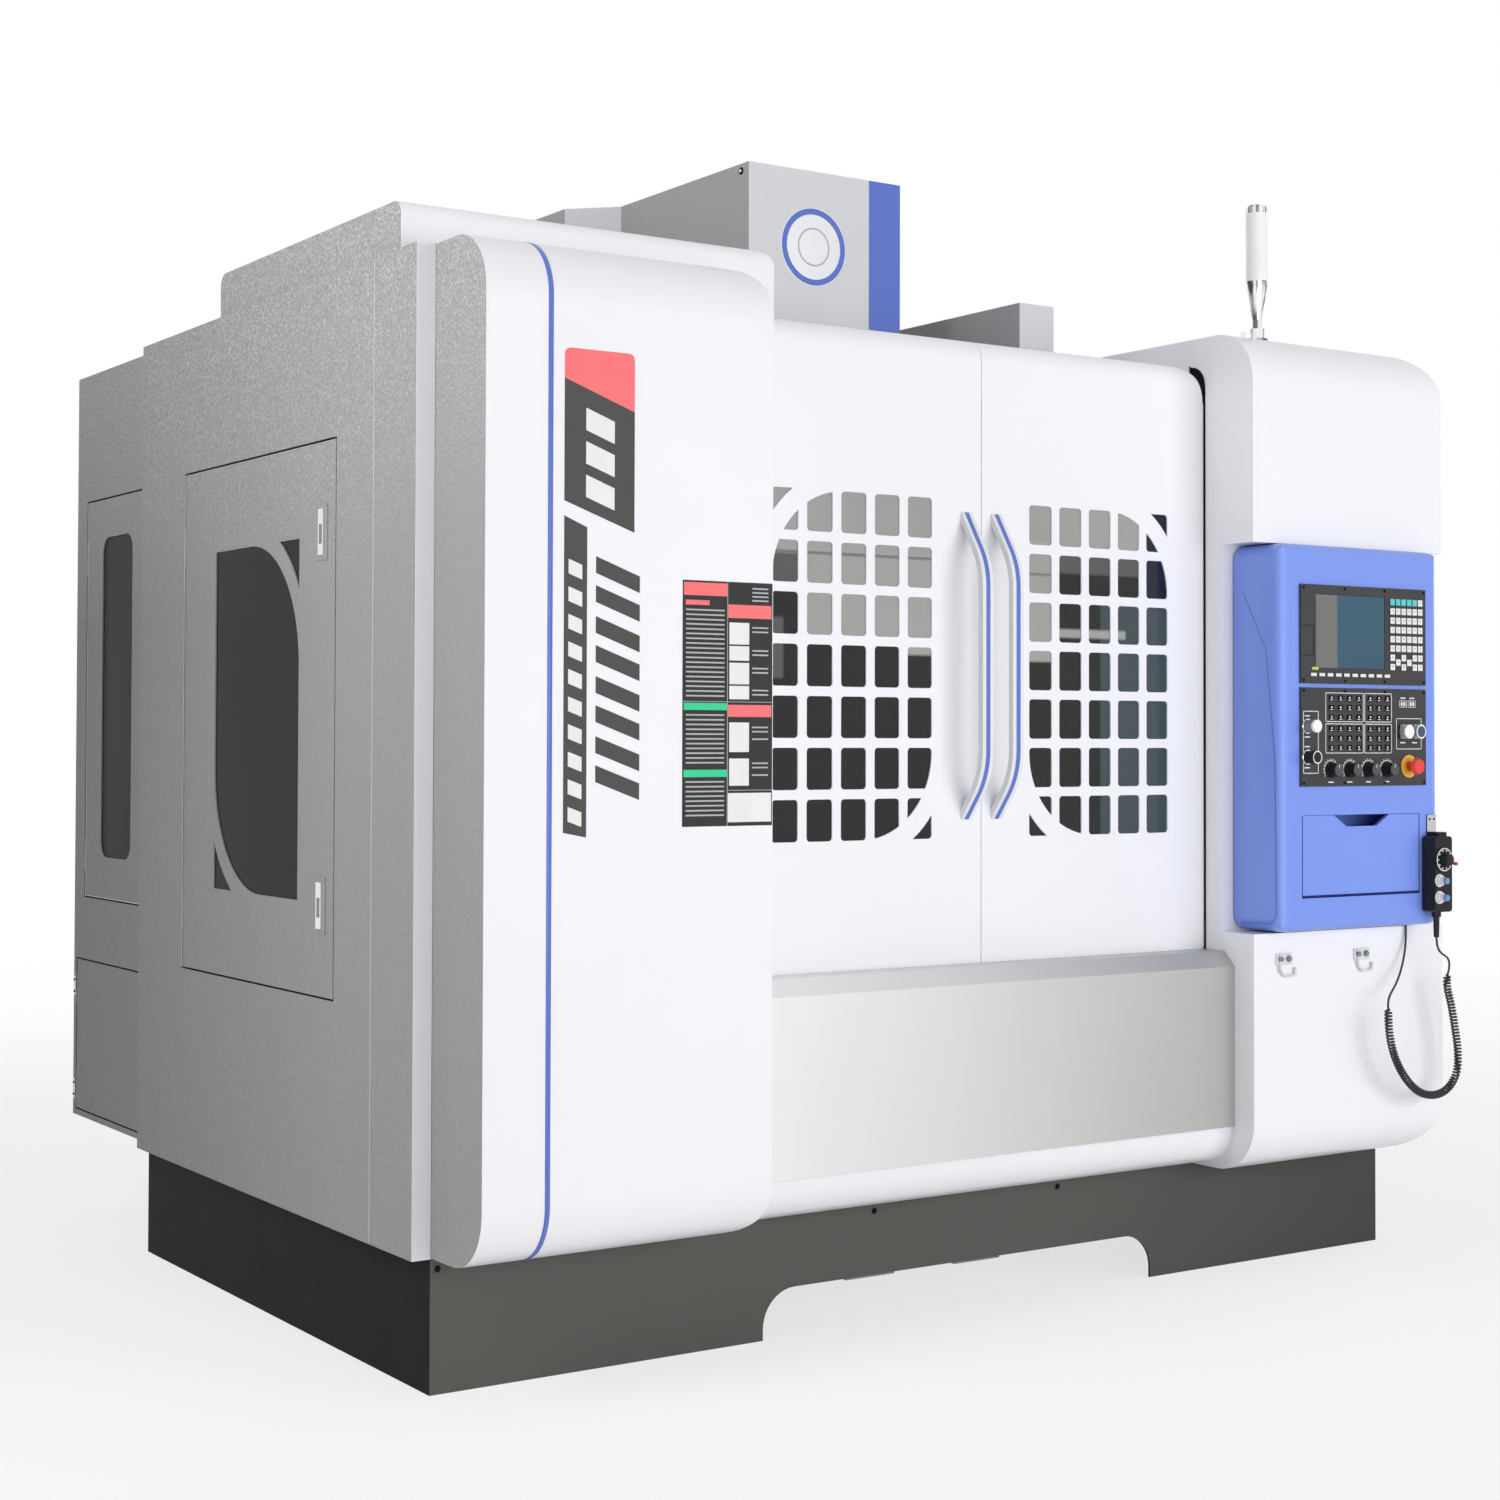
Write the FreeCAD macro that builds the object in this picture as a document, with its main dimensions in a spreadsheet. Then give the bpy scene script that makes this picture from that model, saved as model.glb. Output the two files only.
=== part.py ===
"""CNC machining center: a vertical mill in its full sheet-metal enclosure.

Frame: millimetres, +Z up, machine front towards -Y, +X to the right of someone standing at
the control.  The origin is on the floor, at the middle of the base's footprint.
"""
import FreeCAD, Part
import math
import os
import Sketcher
from FreeCAD import Placement, Rotation, Vector

# Driving sizes.  Every key becomes an alias on the sheet.
SIZES = {
    # base skirt and bed
    "base_width": 2470, "base_depth": 1456, "base_height": 244, "skirt_sheet": 5,
    "fork_width": 1026, "fork_height": 97, "fork_round": 75, "bed_clearance": 30,
    "bed_width": 800, "bed_front": 650, "bed_rear": 900, "bed_underside": 100, "bed_top": 560,
    "pad_size": 130, "pad_pitch_x": 300, "pad_pitch_y": 325,
    "rail_width": 45, "rail_height": 30, "bed_rail_spacing": 500, "rail_inset": 30,
    # enclosure
    "sheet": 3, "side_overhang": 37, "side_fold": 60, "enclosure_setback": 28,
    "shoulder_height": 2077, "roof_drop": 73, "track_drop": 42, "track_setback": 4,
    "track_depth": 20,
    "roof_cover_inset": 25, "roof_cover_reach": 217, "roof_cover_setback": 120,
    "roof_cover_length": 898, "roof_cover_height": 103, "roof_cover_round": 36,
    "roof_cover_nose": 28,
    "duct_left": 393, "duct_width": 102, "duct_setback": 300, "duct_length": 700,
    "duct_height": 179,
    "hood_width": 422, "hood_wide": 622, "hood_lead": 118, "flare_lead": 84,
    "hood_height": 466,
    # front covers
    "cover_depth": 198, "cover_round": 110,
    "left_cover_inset": 1, "left_cover_width": 606, "left_cover_corner": 65,
    "left_cover_lift": 2,
    "right_cover_overhang": 5, "right_cover_width": 607, "right_cover_corner": 110,
    "right_cover_drop": 4, "notch_bottom": 760, "notch_depth": 100,
    "slot_clearance": 4, "slot_above": 6,
    # lower front
    "panel_standoff": 141, "panel_chamfer": 32, "shelf_rise": 1.7, "shelf_gap": 2,
    "kick_standoff": 131, "kick_round": 84, "kick_lift": 8, "kick_height": 87,
    "sill_height": 18, "sill_setback": 4,
    # sliding doors
    "door_standoff": 49, "door_depth": 45, "door_bottom": 717.3, "door_overlap": 8.3,
    "door_lap": 7.75, "door_reveal": 5.25, "door_split": -4, "door_gap": 1.5,
    "door_corner": 80, "door_front_round": 42, "door_sheet": 3,
    "grid_inset": 129, "grid_margin": 107, "grid_post": 21.25, "grid_bar": 19.3,
    "grid_bottom": 978, "grid_top": 1674.8, "cell_round": 8,
    "band_radius": 176, "band_width": 41, "glass_thick": 5, "glass_lap": 30,
    "hanger_width": 60, "hanger_inset": 90, "hanger_height": 12,
    "handle_width": 28, "handle_thick": 14, "handle_reach": 72, "handle_bottom": 1015,
    "handle_straight_bottom": 1108, "handle_straight_top": 1537, "handle_top": 1651,
    "handle_spacing": 40, "handle_foot": 22, "handle_bend": 140,
    # hinged doors
    "hinged_thick": 20, "hinged_gap": 4, "barrel_radius": 3.5, "barrel_length": 40,
    "pin_radius": 1.6, "pin_clearance": 0.3, "pin_overlap": 5,
    "side_door_front": -378, "side_door_back": 423, "side_door_bottom": 680,
    "side_door_top": 1756, "side_window_front": -205, "side_window_back": 242,
    "side_window_bottom": 860, "side_window_top": 1575, "side_arc": 250,
    "pane_lap": 25,
    "side_hinge_low": 120, "side_hinge_high": 160, "upper_hinge_low": 100,
    "upper_hinge_high": 140, "lower_hinge_low": 50, "lower_hinge_high": 75,
    "latch_width": 44, "latch_height": 110, "latch_inset": 58, "latch_low": 856,
    "latch_high": 1580, "latch_plate": 2, "lever_width": 24, "lever_rim": 10,
    "lever_thick": 3.7,
    # rear cabinet
    "cabinet_inset": 42, "cabinet_bed_gap": 135, "cabinet_depth": 588,
    "cabinet_seam": 638, "upper_door_setback": 75, "upper_door_margin": 80,
    "upper_door_bottom": 790, "upper_door_top": 1760, "window_front_margin": 110,
    "window_back_margin": 111, "upper_window_bottom": 890,
    "upper_window_top": 1666, "upper_window_round": 40, "lower_door_setback": 32,
    "lower_door_margin": 26, "lower_door_lift": 18, "lower_door_drop": 8,
    "tank_width": 150, "tank_depth": 110, "tank_height": 170, "tank_setback": 90,
    "tank_round": 25, "neck_radius": 45, "neck_height": 22, "cap_radius": 30,
    "cap_height": 26, "shelf_setback": 60,
    "electrics_depth": 380, "electrics_floor": 330, "electrics_top": 1960,
    "electrics_rim": 25, "electrics_door": 18,
    # control box
    "box_inset": 35, "box_width": 508, "box_gap_low": 4, "box_gap_high": 2,
    "box_height": 846, "box_front": 245, "box_back": 104, "box_corner": 32,
    "box_round": 24, "pivot_inset": 26, "pivot_radius": 8, "pivot_length": 16,
    "module_inset": 56.5, "module_width": 400, "module_plate": 6, "screen_drop": 88.5,
    "screen_height": 216.5, "module_gap": 9, "operator_height": 216,
    "screen_recess": 2, "key_rise": 1.5, "screen_key_width": 16,
    "screen_key_height": 15.8, "screen_key_pitch": 18.2, "screen_row_pitch": 20.8,
    "soft_key_width": 18.5, "soft_key_height": 8, "soft_key_pitch": 26,
    "operator_key_width": 16, "operator_key_height": 13, "operator_row_pitch": 21.1,
    "tray_inset": 66, "tray_width": 372, "tray_lift": 77, "tray_drop": 64,
    "tray_depth": 90, "flap_thick": 10, "flap_gap": 1, "flap_pin": 2.5, "flap_pin_length": 7,
    "finger_top": 180, "finger_bottom": 96, "finger_depth": 25,
    "knob_radius": 15, "knob_length": 24, "knob_standoff": 0.3, "skirt_length": 6,
    "button_radius": 14, "button_stem": 12, "small_stem": 11, "stem_bore_depth": 5,
    "press_room": 6.3, "button_length": 30, "guard_size": 30, "guard_length": 14,
    "guard_height": 32, "stem_seat": 0.5, "lens_radius": 13, "lens_length": 20,
    "stop_radius": 19.5, "stop_length": 32, "stop_half": 8, "stop_bevel": 3.5,
    # handwheel pendant
    "pendant_inset": 5, "pendant_width": 56, "pendant_lift": 31, "pendant_height": 170,
    "pendant_depth": 37, "pendant_gap": 3, "pendant_round": 8,
    "dial_radius": 27, "dial_thick": 4, "crank_radius": 15, "crank_length": 20,
    "switch_radius": 12, "collar_length": 7, "lever_length": 24,
    "lever_tip": 7, "lever_root": 9, "relief_radius": 6, "relief_rib": 7.5,
    "relief_inset": 26, "relief_depth": 20, "relief_length": 58,
    "gland_radius": 10.5, "gland_length": 12, "clip_inset": 17, "clip_width": 28,
    "clip_rise": 48, "clip_drop": 60, "clip_lap": 6, "clip_thick": 10,
    # signal lamp and hooks
    "lamp_inset": 149, "lamp_foot_radius": 24.5, "lamp_stem_radius": 10,
    "lamp_radius": 25.5, "lamp_rise": 138, "lamp_lens_length": 154, "lamp_overhang": 65,
    "lamp_foot": 8, "lamp_socket_radius": 16, "lamp_socket": 31, "lamp_holder": 87,
    "lamp_rod_radius": 8, "lamp_cap": 18, "lamp_cap_bevel": 5, "lens_wall": 3.5,
    "hook_wire": 3, "hook_inset": 40, "hook_spacing": 245, "hook_plate": 26,
    "hook_plate_width": 48, "hook_plate_thick": 4, "hook_drop": 44, "hook_length": 50,
    "hook_width": 46, "hook_tip": 18, "hook_plate_lead": 10,
    # machine inside
    "spindle_y": -95, "saddle_length": 1200, "saddle_width": 380, "saddle_thick": 100,
    "carriage_width": 80, "carriage_length": 100, "carriage_lift": 4,
    "saddle_carriage_spacing": 240,
    "table_length": 1000, "table_width": 500, "table_thick": 110, "slot_pitch": 90,
    "slot_width": 18, "slot_depth": 30, "slot_undercut": 12, "slot_wing": 7,
    "table_rail_spacing": 280, "table_carriage_spacing": 300,
    "column_width": 600, "column_front": 430, "column_gap": 14, "column_back_top": 760,
    "column_rail_spacing": 400, "column_rail_bottom": 940, "column_setback": 10,
    "column_side_gap": 10, "column_top_gap": 5,
    "head_width": 300, "head_plate_width": 520, "head_plate_thick": 40, "head_drop": 90,
    "head_height": 340, "nose_drop": 60, "nose_radius": 80, "spindle_radius": 55,
    "head_nape": 80, "head_slope": 60, "head_chin": 110, "chin_bevel": 40,
    "plate_rise": 60, "head_carriage": 110, "carriage_inset": 10,
    "spindle_length": 159, "nose_length": 15, "spindle_nose_radius": 44,
    "taper_radius": 22.4, "taper_end": 12.6, "taper_length": 68, "drive_key": 16,
    "drive_key_offset": 34, "drive_key_height": 5,
    "motor_size": 180, "motor_height": 350, "running_gap": 0.3, "bearing_gap": 0.05,
    "beam_reach": 800, "beam_inset": 30, "beam_depth": 60, "beam_height": 80,
    "slider_length": 150, "slider_wall": 20, "slider_offset": 55,
    "magazine_reach": 595, "disc_radius": 300, "pocket_circle": 250, "pocket_radius": 32,
    "disc_thick": 30, "disc_drop": 60, "arm_thick": 40, "hub_radius": 40,
    "axle_radius": 15, "arm_width": 120, "seat": 1,
}
POCKETS = 16
ROWS = 7
COLUMNS = 5
REACH = 5  # how far a cutting shape reaches past a face
MITRE = math.tan(math.radians(22.5))  # lean of a sheet's inner edge at a 45 degree bend

document = FreeCAD.newDocument("machining_center")
sheet = document.addObject("Spreadsheet::Sheet", "Sizes")
for row, (size_name, size_value) in enumerate(SIZES.items(), start=1):
    sheet.set(f"A{row}", size_name)
    sheet.set(f"B{row}", str(size_value))
    sheet.setAlias(f"B{row}", size_name)
document.recompute()


class Size:
    """A length that carries its number and the sheet formula that gives it."""

    def __init__(self, number, formula=None):
        self.number = float(number)
        self.formula = formula

    def text(self):
        return self.formula if self.formula else f"({self.number!r})"

    def joined(self, other, sign, number):
        other = sized(other)
        if self.formula is None and other.formula is None:
            return Size(number)
        return Size(number, f"({self.text()} {sign} {other.text()})")

    def __add__(self, other):
        return self.joined(other, "+", self.number + sized(other).number)

    def __sub__(self, other):
        return self.joined(other, "-", self.number - sized(other).number)

    def __mul__(self, other):
        return self.joined(other, "*", self.number * sized(other).number)

    def __truediv__(self, other):
        return self.joined(other, "/", self.number / sized(other).number)

    def __radd__(self, other):
        return sized(other) + self

    def __rsub__(self, other):
        return sized(other) - self

    def __rmul__(self, other):
        return sized(other) * self

    def __neg__(self):
        return sized(0) - self


def sized(value):
    return value if isinstance(value, Size) else Size(value)


class SheetSizes:
    """Each alias of the sheet as an attribute."""

    def __getattr__(self, name):
        return Size(SIZES[name], f"Sizes.{name}")


S = SheetSizes()
NODES = {}


def node(thing, name):
    """Names a finished sub-part; its name becomes its file's name."""
    thing.Label = name
    NODES[name] = thing
    return thing


def bind(thing, path, value):
    value = sized(value)
    if value.formula:
        thing.setExpression(path, value.formula)


# --------------------------------------------------------------------------- primitives
def place(thing, x, y, z, rotation=None):
    x, y, z = sized(x), sized(y), sized(z)
    turn = rotation if rotation else Rotation()
    thing.Placement = Placement(Vector(x.number, y.number, z.number), turn)
    for path, value in (("x", x), ("y", y), ("z", z)):
        bind(thing, f"Placement.Base.{path}", value)


def set_sizes(thing, **values):
    for path, value in values.items():
        value = sized(value)
        setattr(thing, path, value.number)
        bind(thing, path, value)


def block(x0, x1, y0, y1, z0, z1):
    """A rectangular block between two opposite corners."""
    thing = document.addObject("Part::Box", "block")
    set_sizes(thing, Length=sized(x1) - x0, Width=sized(y1) - y0, Height=sized(z1) - z0)
    place(thing, x0, y0, z0)
    return thing


TURNS = {
    "x": Rotation(Vector(0, 1, 0), 90),
    "y": Rotation(Vector(1, 0, 0), -90),
    "z": Rotation(),
}


def rod(axis, x, y, z, radius, length):
    """A cylinder that starts at a point and runs along +axis."""
    thing = document.addObject("Part::Cylinder", "rod")
    set_sizes(thing, Radius=radius, Height=length)
    place(thing, x, y, z, TURNS[axis])
    return thing


def cone(axis, x, y, z, radius_start, radius_end, length):
    thing = document.addObject("Part::Cone", "cone")
    set_sizes(thing, Radius1=radius_start, Radius2=radius_end, Height=length)
    place(thing, x, y, z, TURNS[axis])
    return thing


def fused(*parts):
    thing = document.addObject("Part::MultiFuse", "fused")
    thing.Shapes = list(parts)
    thing.Refine = True
    return thing


def without(base, *tools):
    """The base with every tool cut away."""
    thing = document.addObject("Part::Cut", "without")
    thing.Base = base
    thing.Tool = tools[0] if len(tools) == 1 else fused(*tools)
    thing.Refine = True
    return thing


# --------------------------------------------------------------------------- sketched bodies
def new_body():
    return document.addObject("PartDesign::Body", "body")


class Loop:
    """A closed outline whose corners may be rounded where two square edges meet."""

    def __init__(self, *corners):
        stretches = []
        count = len(corners)
        for index, corner in enumerate(corners):
            u, v = sized(corner[0]), sized(corner[1])
            if len(corner) == 2:
                stretches.append(((u, v), None))
                continue
            radius = sized(corner[2])
            step_in = unit_step(corner, corners[index - 1])
            step_out = unit_step(corner, corners[(index + 1) % count])
            start = (u + radius * step_in[0], v + radius * step_in[1])
            end = (u + radius * step_out[0], v + radius * step_out[1])
            centre = (start[0].number + radius.number * step_out[0],
                      start[1].number + radius.number * step_out[1])
            turn = step_out[0] * step_in[1] - step_out[1] * step_in[0]
            stretches.append((start, (centre, radius, turn > 0)))
            stretches.append((end, None))
        self.points = []
        self.arcs = {}
        for index, (point, arc) in enumerate(stretches):
            following = stretches[(index + 1) % len(stretches)][0]
            if arc is None and same_place(point, following):
                continue
            if arc:
                self.arcs[len(self.points)] = arc
            self.points.append(point)


def same_place(first, second):
    """True where a straight stretch between two points would have no length."""
    return all(abs(a.number - b.number) < 1e-6 for a, b in zip(first, second))


def unit_step(start, end):
    """The square direction from one corner to its neighbour."""
    du = sized(end[0]).number - sized(start[0]).number
    dv = sized(end[1]).number - sized(start[1]).number
    reach = math.hypot(du, dv)
    return round(du / reach), round(dv / reach)


def sector(centre_u, centre_v, inner, outer, sign_u, sign_v):
    """A quarter ring about a centre, in the quadrant that the two signs give."""
    loop = Loop()
    centre_u, centre_v = sized(centre_u), sized(centre_v)
    middle = (centre_u.number, centre_v.number)
    loop.points = [
        (centre_u + sign_u * inner, centre_v),
        (centre_u + sign_u * outer, centre_v),
        (centre_u, centre_v + sign_v * outer),
        (centre_u, centre_v + sign_v * inner),
    ]
    left_turn = sign_u * sign_v > 0
    loop.arcs = {1: (middle, outer, left_turn), 3: (middle, inner, not left_turn)}
    return loop


def pin_point(sketch, index, end, point):
    """Fixes one end of a sketch line at its distances from the sketch's origin."""
    for kind, value, line in (("DistanceX", point[0], -2), ("DistanceY", point[1], -1)):
        if value.formula is None and abs(value.number) < 1e-9:
            sketch.addConstraint(Sketcher.Constraint("PointOnObject", index, end, line))
            continue
        rule = sketch.addConstraint(
            Sketcher.Constraint(kind, -1, 1, index, end, value.number))
        bind(sketch, f"Constraints[{rule}]", value)


def draw(sketch, loop):
    """Draws one loop: lines fixed at both ends, arcs held by their ends and radius."""
    count = len(loop.points)
    drawn = {}
    for index in range(count):
        start = loop.points[index]
        end = loop.points[(index + 1) % count]
        first = Vector(start[0].number, start[1].number, 0)
        last = Vector(end[0].number, end[1].number, 0)
        if index not in loop.arcs:
            line = sketch.addGeometry(Part.LineSegment(first, last))
            pin_point(sketch, line, 1, start)
            pin_point(sketch, line, 2, end)
            drawn[index] = line
    for index, (centre, radius, left_turn) in loop.arcs.items():
        middle = Vector(centre[0], centre[1], 0)
        start = loop.points[index]
        end = loop.points[(index + 1) % count]
        ends = [start, end] if left_turn else [end, start]
        angles = [math.atan2(p[1].number - middle.y, p[0].number - middle.x) for p in ends]
        if angles[1] < angles[0]:
            angles[1] += 2 * math.pi
        circle = Part.Circle(middle, Vector(0, 0, 1), radius.number)
        arc = sketch.addGeometry(Part.ArcOfCircle(circle, angles[0], angles[1]))
        before = drawn[(index - 1) % count]
        after = drawn[(index + 1) % count]
        first_end, last_end = (1, 2) if left_turn else (2, 1)
        sketch.addConstraint(Sketcher.Constraint("Coincident", arc, first_end, before, 2))
        sketch.addConstraint(Sketcher.Constraint("Coincident", arc, last_end, after, 1))
        rule = sketch.addConstraint(Sketcher.Constraint("Radius", arc, radius.number))
        bind(sketch, f"Constraints[{rule}]", radius)


PLANES = {"x": "YZ_Plane", "y": "XZ_Plane", "z": "XY_Plane"}


def extrude(body, axis, start, end, loops, cutting=False):
    """Adds, or cuts, the loops from one place to another along an axis.

    Loops lie in (Y, Z) for the x axis, (X, Z) for the y axis and (X, Y) for the z axis.
    """
    start, end = sized(start), sized(end)
    plane = [one for one in body.Origin.OriginFeatures if one.Role == PLANES[axis]][0]
    sketch = body.newObject("Sketcher::SketchObject", "outline")
    sketch.AttachmentSupport = [(plane, "")]
    sketch.MapMode = "FlatFace"
    offset = -start if axis == "y" else start
    sketch.AttachmentOffset = Placement(Vector(0, 0, offset.number), Rotation())
    bind(sketch, "AttachmentOffset.Base.z", offset)
    for loop in loops:
        draw(sketch, loop)
    kind = "PartDesign::Pocket" if cutting else "PartDesign::Pad"
    feature = body.newObject(kind, "cut" if cutting else "pad")
    feature.Profile = sketch
    feature.Reversed = (axis == "y") != cutting
    set_sizes(feature, Length=end - start)
    return feature


def cut(body, axis, start, end, *loops):
    return extrude(body, axis, start, end, loops, cutting=True)


def add(body, axis, start, end, *loops):
    return extrude(body, axis, start, end, loops)


def rectangle(u0, u1, v0, v1, radius=None):
    corners = ((u0, v0), (u1, v0), (u1, v1), (u0, v1))
    if radius is not None:
        corners = tuple(corner + (radius,) for corner in corners)
    return Loop(*corners)


def repeat(body, feature, direction_role, pitch, count):
    """Repeats a feature in a straight row along one of the body's axes."""
    pattern = body.newObject("PartDesign::LinearPattern", "row")
    pattern.Originals = [feature]
    axis = [one for one in body.Origin.OriginFeatures if one.Role == direction_role][0]
    pattern.Direction = (axis, [""])
    pitch = sized(pitch)
    pattern.Length = pitch.number * (count - 1)
    bind(pattern, "Length", pitch * (count - 1))
    pattern.Occurrences = count
    body.Tip = pattern
    return pattern


def round_edges(body, radius, *middles):
    """Rounds the body's edges that have these middles."""
    document.recompute()
    feature = body.Tip
    names = []
    for index, edge in enumerate(feature.Shape.Edges, start=1):
        middle = edge.valueAt((edge.FirstParameter + edge.LastParameter) / 2)
        if any(middle.distanceToPoint(place) < 0.01 for place in middles):
            names.append(f"Edge{index}")
    fillet = body.newObject("PartDesign::Fillet", "round")
    fillet.Base = (feature, names)
    set_sizes(fillet, Radius=radius)
    body.Tip = fillet


def point_at(x, y, z):
    """A place as plain numbers."""
    return Vector(sized(x).number, sized(y).number, sized(z).number)


def round_off(body, axis, start, end, corner, outwards, radius):
    """Cuts a body's square corner down to a quarter circle, all along an axis."""
    u, v = corner
    out_u, out_v = outwards
    in_u, in_v = u - out_u * radius, v - out_v * radius
    far_u, far_v = u + out_u * REACH, v + out_v * REACH
    cut(body, axis, start, end, Loop(
        (in_u, v), (u, v, radius), (u, in_v), (far_u, in_v), (far_u, far_v), (in_u, far_v)))


# --------------------------------------------------------------------------- shared places
left_plane = -S.base_width / 2 - S.side_overhang
right_plane = -left_plane
front_plane = -S.base_depth / 2
back_plane = S.base_depth / 2 - S.enclosure_setback
enclosure_floor = S.base_height
cover_top = S.shoulder_height
roof_height = S.shoulder_height - S.roof_drop
cover_front = front_plane - S.cover_depth
left_cover_left = -S.base_width / 2 + S.left_cover_inset
left_cover_right = left_cover_left + S.left_cover_width
right_cover_right = S.base_width / 2 + S.right_cover_overhang
right_cover_left = right_cover_right - S.right_cover_width
door_front = front_plane - S.door_standoff
door_back = door_front + S.door_depth
door_top = roof_height + S.door_overlap
track_back = front_plane + S.track_setback + S.track_depth
track_floor = roof_height - S.track_drop
shelf_top = S.door_bottom + S.shelf_rise
panel_bottom = S.base_height + S.kick_lift + S.kick_height
bed_rail_top = S.bed_top + S.rail_height
hood_front = S.spindle_y - S.hood_lead
column_top = roof_height - S.column_gap
head_top = column_top - S.head_drop
head_bottom = head_top - S.head_height
nose_bottom = head_bottom - S.nose_drop
box_left = right_cover_left + S.box_inset
box_right = box_left + S.box_width
box_face = front_plane - S.box_front
box_bottom = S.notch_bottom + S.box_gap_low
box_top = box_bottom + S.box_height
notch_top = box_top + S.box_gap_high
pivot_x = box_right - S.pivot_inset
pivot_y = front_plane - S.box_back - S.pivot_inset
module_left = box_left + S.module_inset
module_face = box_face - S.module_plate
screen_top = box_top - S.screen_drop
screen_bottom = screen_top - S.screen_height
operator_top = screen_bottom - S.module_gap
operator_bottom = operator_top - S.operator_height
tray_left = box_left + S.tray_inset
tray_bottom = box_bottom + S.tray_lift
tray_top = operator_bottom - S.tray_drop
cabinet_left = left_plane + S.cabinet_inset
cabinet_right = -S.bed_width / 2 - S.cabinet_bed_gap
cabinet_back = back_plane + S.cabinet_depth
upper_door_front = back_plane + S.upper_door_setback
upper_door_back = cabinet_back - S.upper_door_margin
upper_window_front = upper_door_front + S.window_front_margin
upper_window_back = upper_door_back - S.window_back_margin
lower_door_front = back_plane + S.lower_door_setback
lower_door_back = cabinet_back - S.lower_door_margin
lower_door_bottom = S.base_height + S.lower_door_lift
lower_door_top = S.cabinet_seam - S.lower_door_drop
shelf_height = S.upper_window_bottom - S.pane_lap
pendant_left = box_right - S.pendant_inset - S.pendant_width
pendant_bottom = box_bottom + S.pendant_lift
pendant_top = pendant_bottom + S.pendant_height
pendant_front = box_face - S.pendant_gap - S.pendant_depth
relief_x = pendant_left + S.relief_inset
relief_y = pendant_front + S.relief_depth
relief_tip = pendant_bottom - S.relief_length
lamp_x = right_cover_left + S.lamp_inset
lamp_y = front_plane - S.lamp_overhang
lens_bottom = cover_top + S.lamp_rise
lens_top = lens_bottom + S.lamp_lens_length
saddle_rail_top = bed_rail_top + S.running_gap + S.saddle_thick + S.rail_height
disc_bottom = nose_bottom - S.disc_drop
side_hinge_heights = (S.side_door_bottom + S.side_hinge_low,
                      S.side_door_top - S.side_hinge_high)
upper_hinge_heights = (S.upper_door_bottom + S.upper_hinge_low,
                       S.upper_door_top - S.upper_hinge_high)
lower_hinge_heights = (lower_door_bottom + S.lower_hinge_low,
                       lower_door_top - S.lower_hinge_high)


# --------------------------------------------------------------------------- base and bed
def base_skirt():
    """Folded skirt round the bed, with fork cut-outs and open at the back for the bed."""
    body = new_body()
    half_x = S.base_width / 2
    half_y = S.base_depth / 2
    half_gap = S.bed_width / 2 + S.bed_clearance
    inner_x = half_x - S.skirt_sheet
    inner_y = half_y - S.skirt_sheet
    add(body, "z", 0, S.base_height, Loop(
        (-half_x, -half_y), (half_x, -half_y), (half_x, half_y), (half_gap, half_y),
        (half_gap, inner_y), (inner_x, inner_y), (inner_x, -inner_y), (-inner_x, -inner_y),
        (-inner_x, inner_y), (-half_gap, inner_y), (-half_gap, half_y), (-half_x, half_y)))
    half_fork = S.fork_width / 2
    cut(body, "y", -half_y - 1, -inner_y + 1, Loop(
        (-half_fork, -REACH), (half_fork, -REACH), (half_fork, S.fork_height, S.fork_round),
        (-half_fork, S.fork_height, S.fork_round)))
    return node(body, "base_skirt")


def bed_casting():
    """Cast bed on twelve floor pads, one over the origin, with two guide rails on top."""
    body = new_body()
    half, half_pad = S.bed_width / 2, S.pad_size / 2
    add(body, "z", S.bed_underside, S.bed_top, rectangle(-half, half, -S.bed_front, S.bed_rear))
    pads = []
    for column in (-1, 0, 1):
        for row in (-1, 0, 1, 2):
            x, y = column * S.pad_pitch_x, row * S.pad_pitch_y
            pads.append(rectangle(x - half_pad, x + half_pad, y - half_pad, y + half_pad))
    add(body, "z", 0, S.bed_underside, *pads)
    rail_half = S.rail_width / 2
    rails = [rectangle(side * S.bed_rail_spacing / 2 - rail_half,
                       side * S.bed_rail_spacing / 2 + rail_half,
                       S.rail_inset - S.bed_front, S.column_front - S.rail_inset)
             for side in (-1, 1)]
    add(body, "z", S.bed_top, bed_rail_top, *rails)
    return node(body, "bed_casting")


def column_casting():
    """Column that tapers towards its top, with rails for the head and the magazine's beam."""
    body = new_body()
    half = S.column_width / 2
    add(body, "x", -half, half, Loop(
        (S.column_front, S.bed_top), (S.bed_rear - S.column_setback, S.bed_top),
        (S.column_back_top, column_top), (S.column_front, column_top)))
    rail_half = S.rail_width / 2
    rails = [rectangle(side * S.column_rail_spacing / 2 - rail_half,
                       side * S.column_rail_spacing / 2 + rail_half,
                       S.column_rail_bottom, column_top) for side in (-1, 1)]
    add(body, "y", S.column_front - S.rail_height, S.column_front, *rails)
    beam_front = S.column_front + S.beam_inset
    beam = rectangle(beam_front, beam_front + S.beam_depth, head_bottom,
                     head_bottom + S.beam_height)
    add(body, "x", -half - S.beam_reach, -half, beam)
    return node(body, "column_casting")


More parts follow.
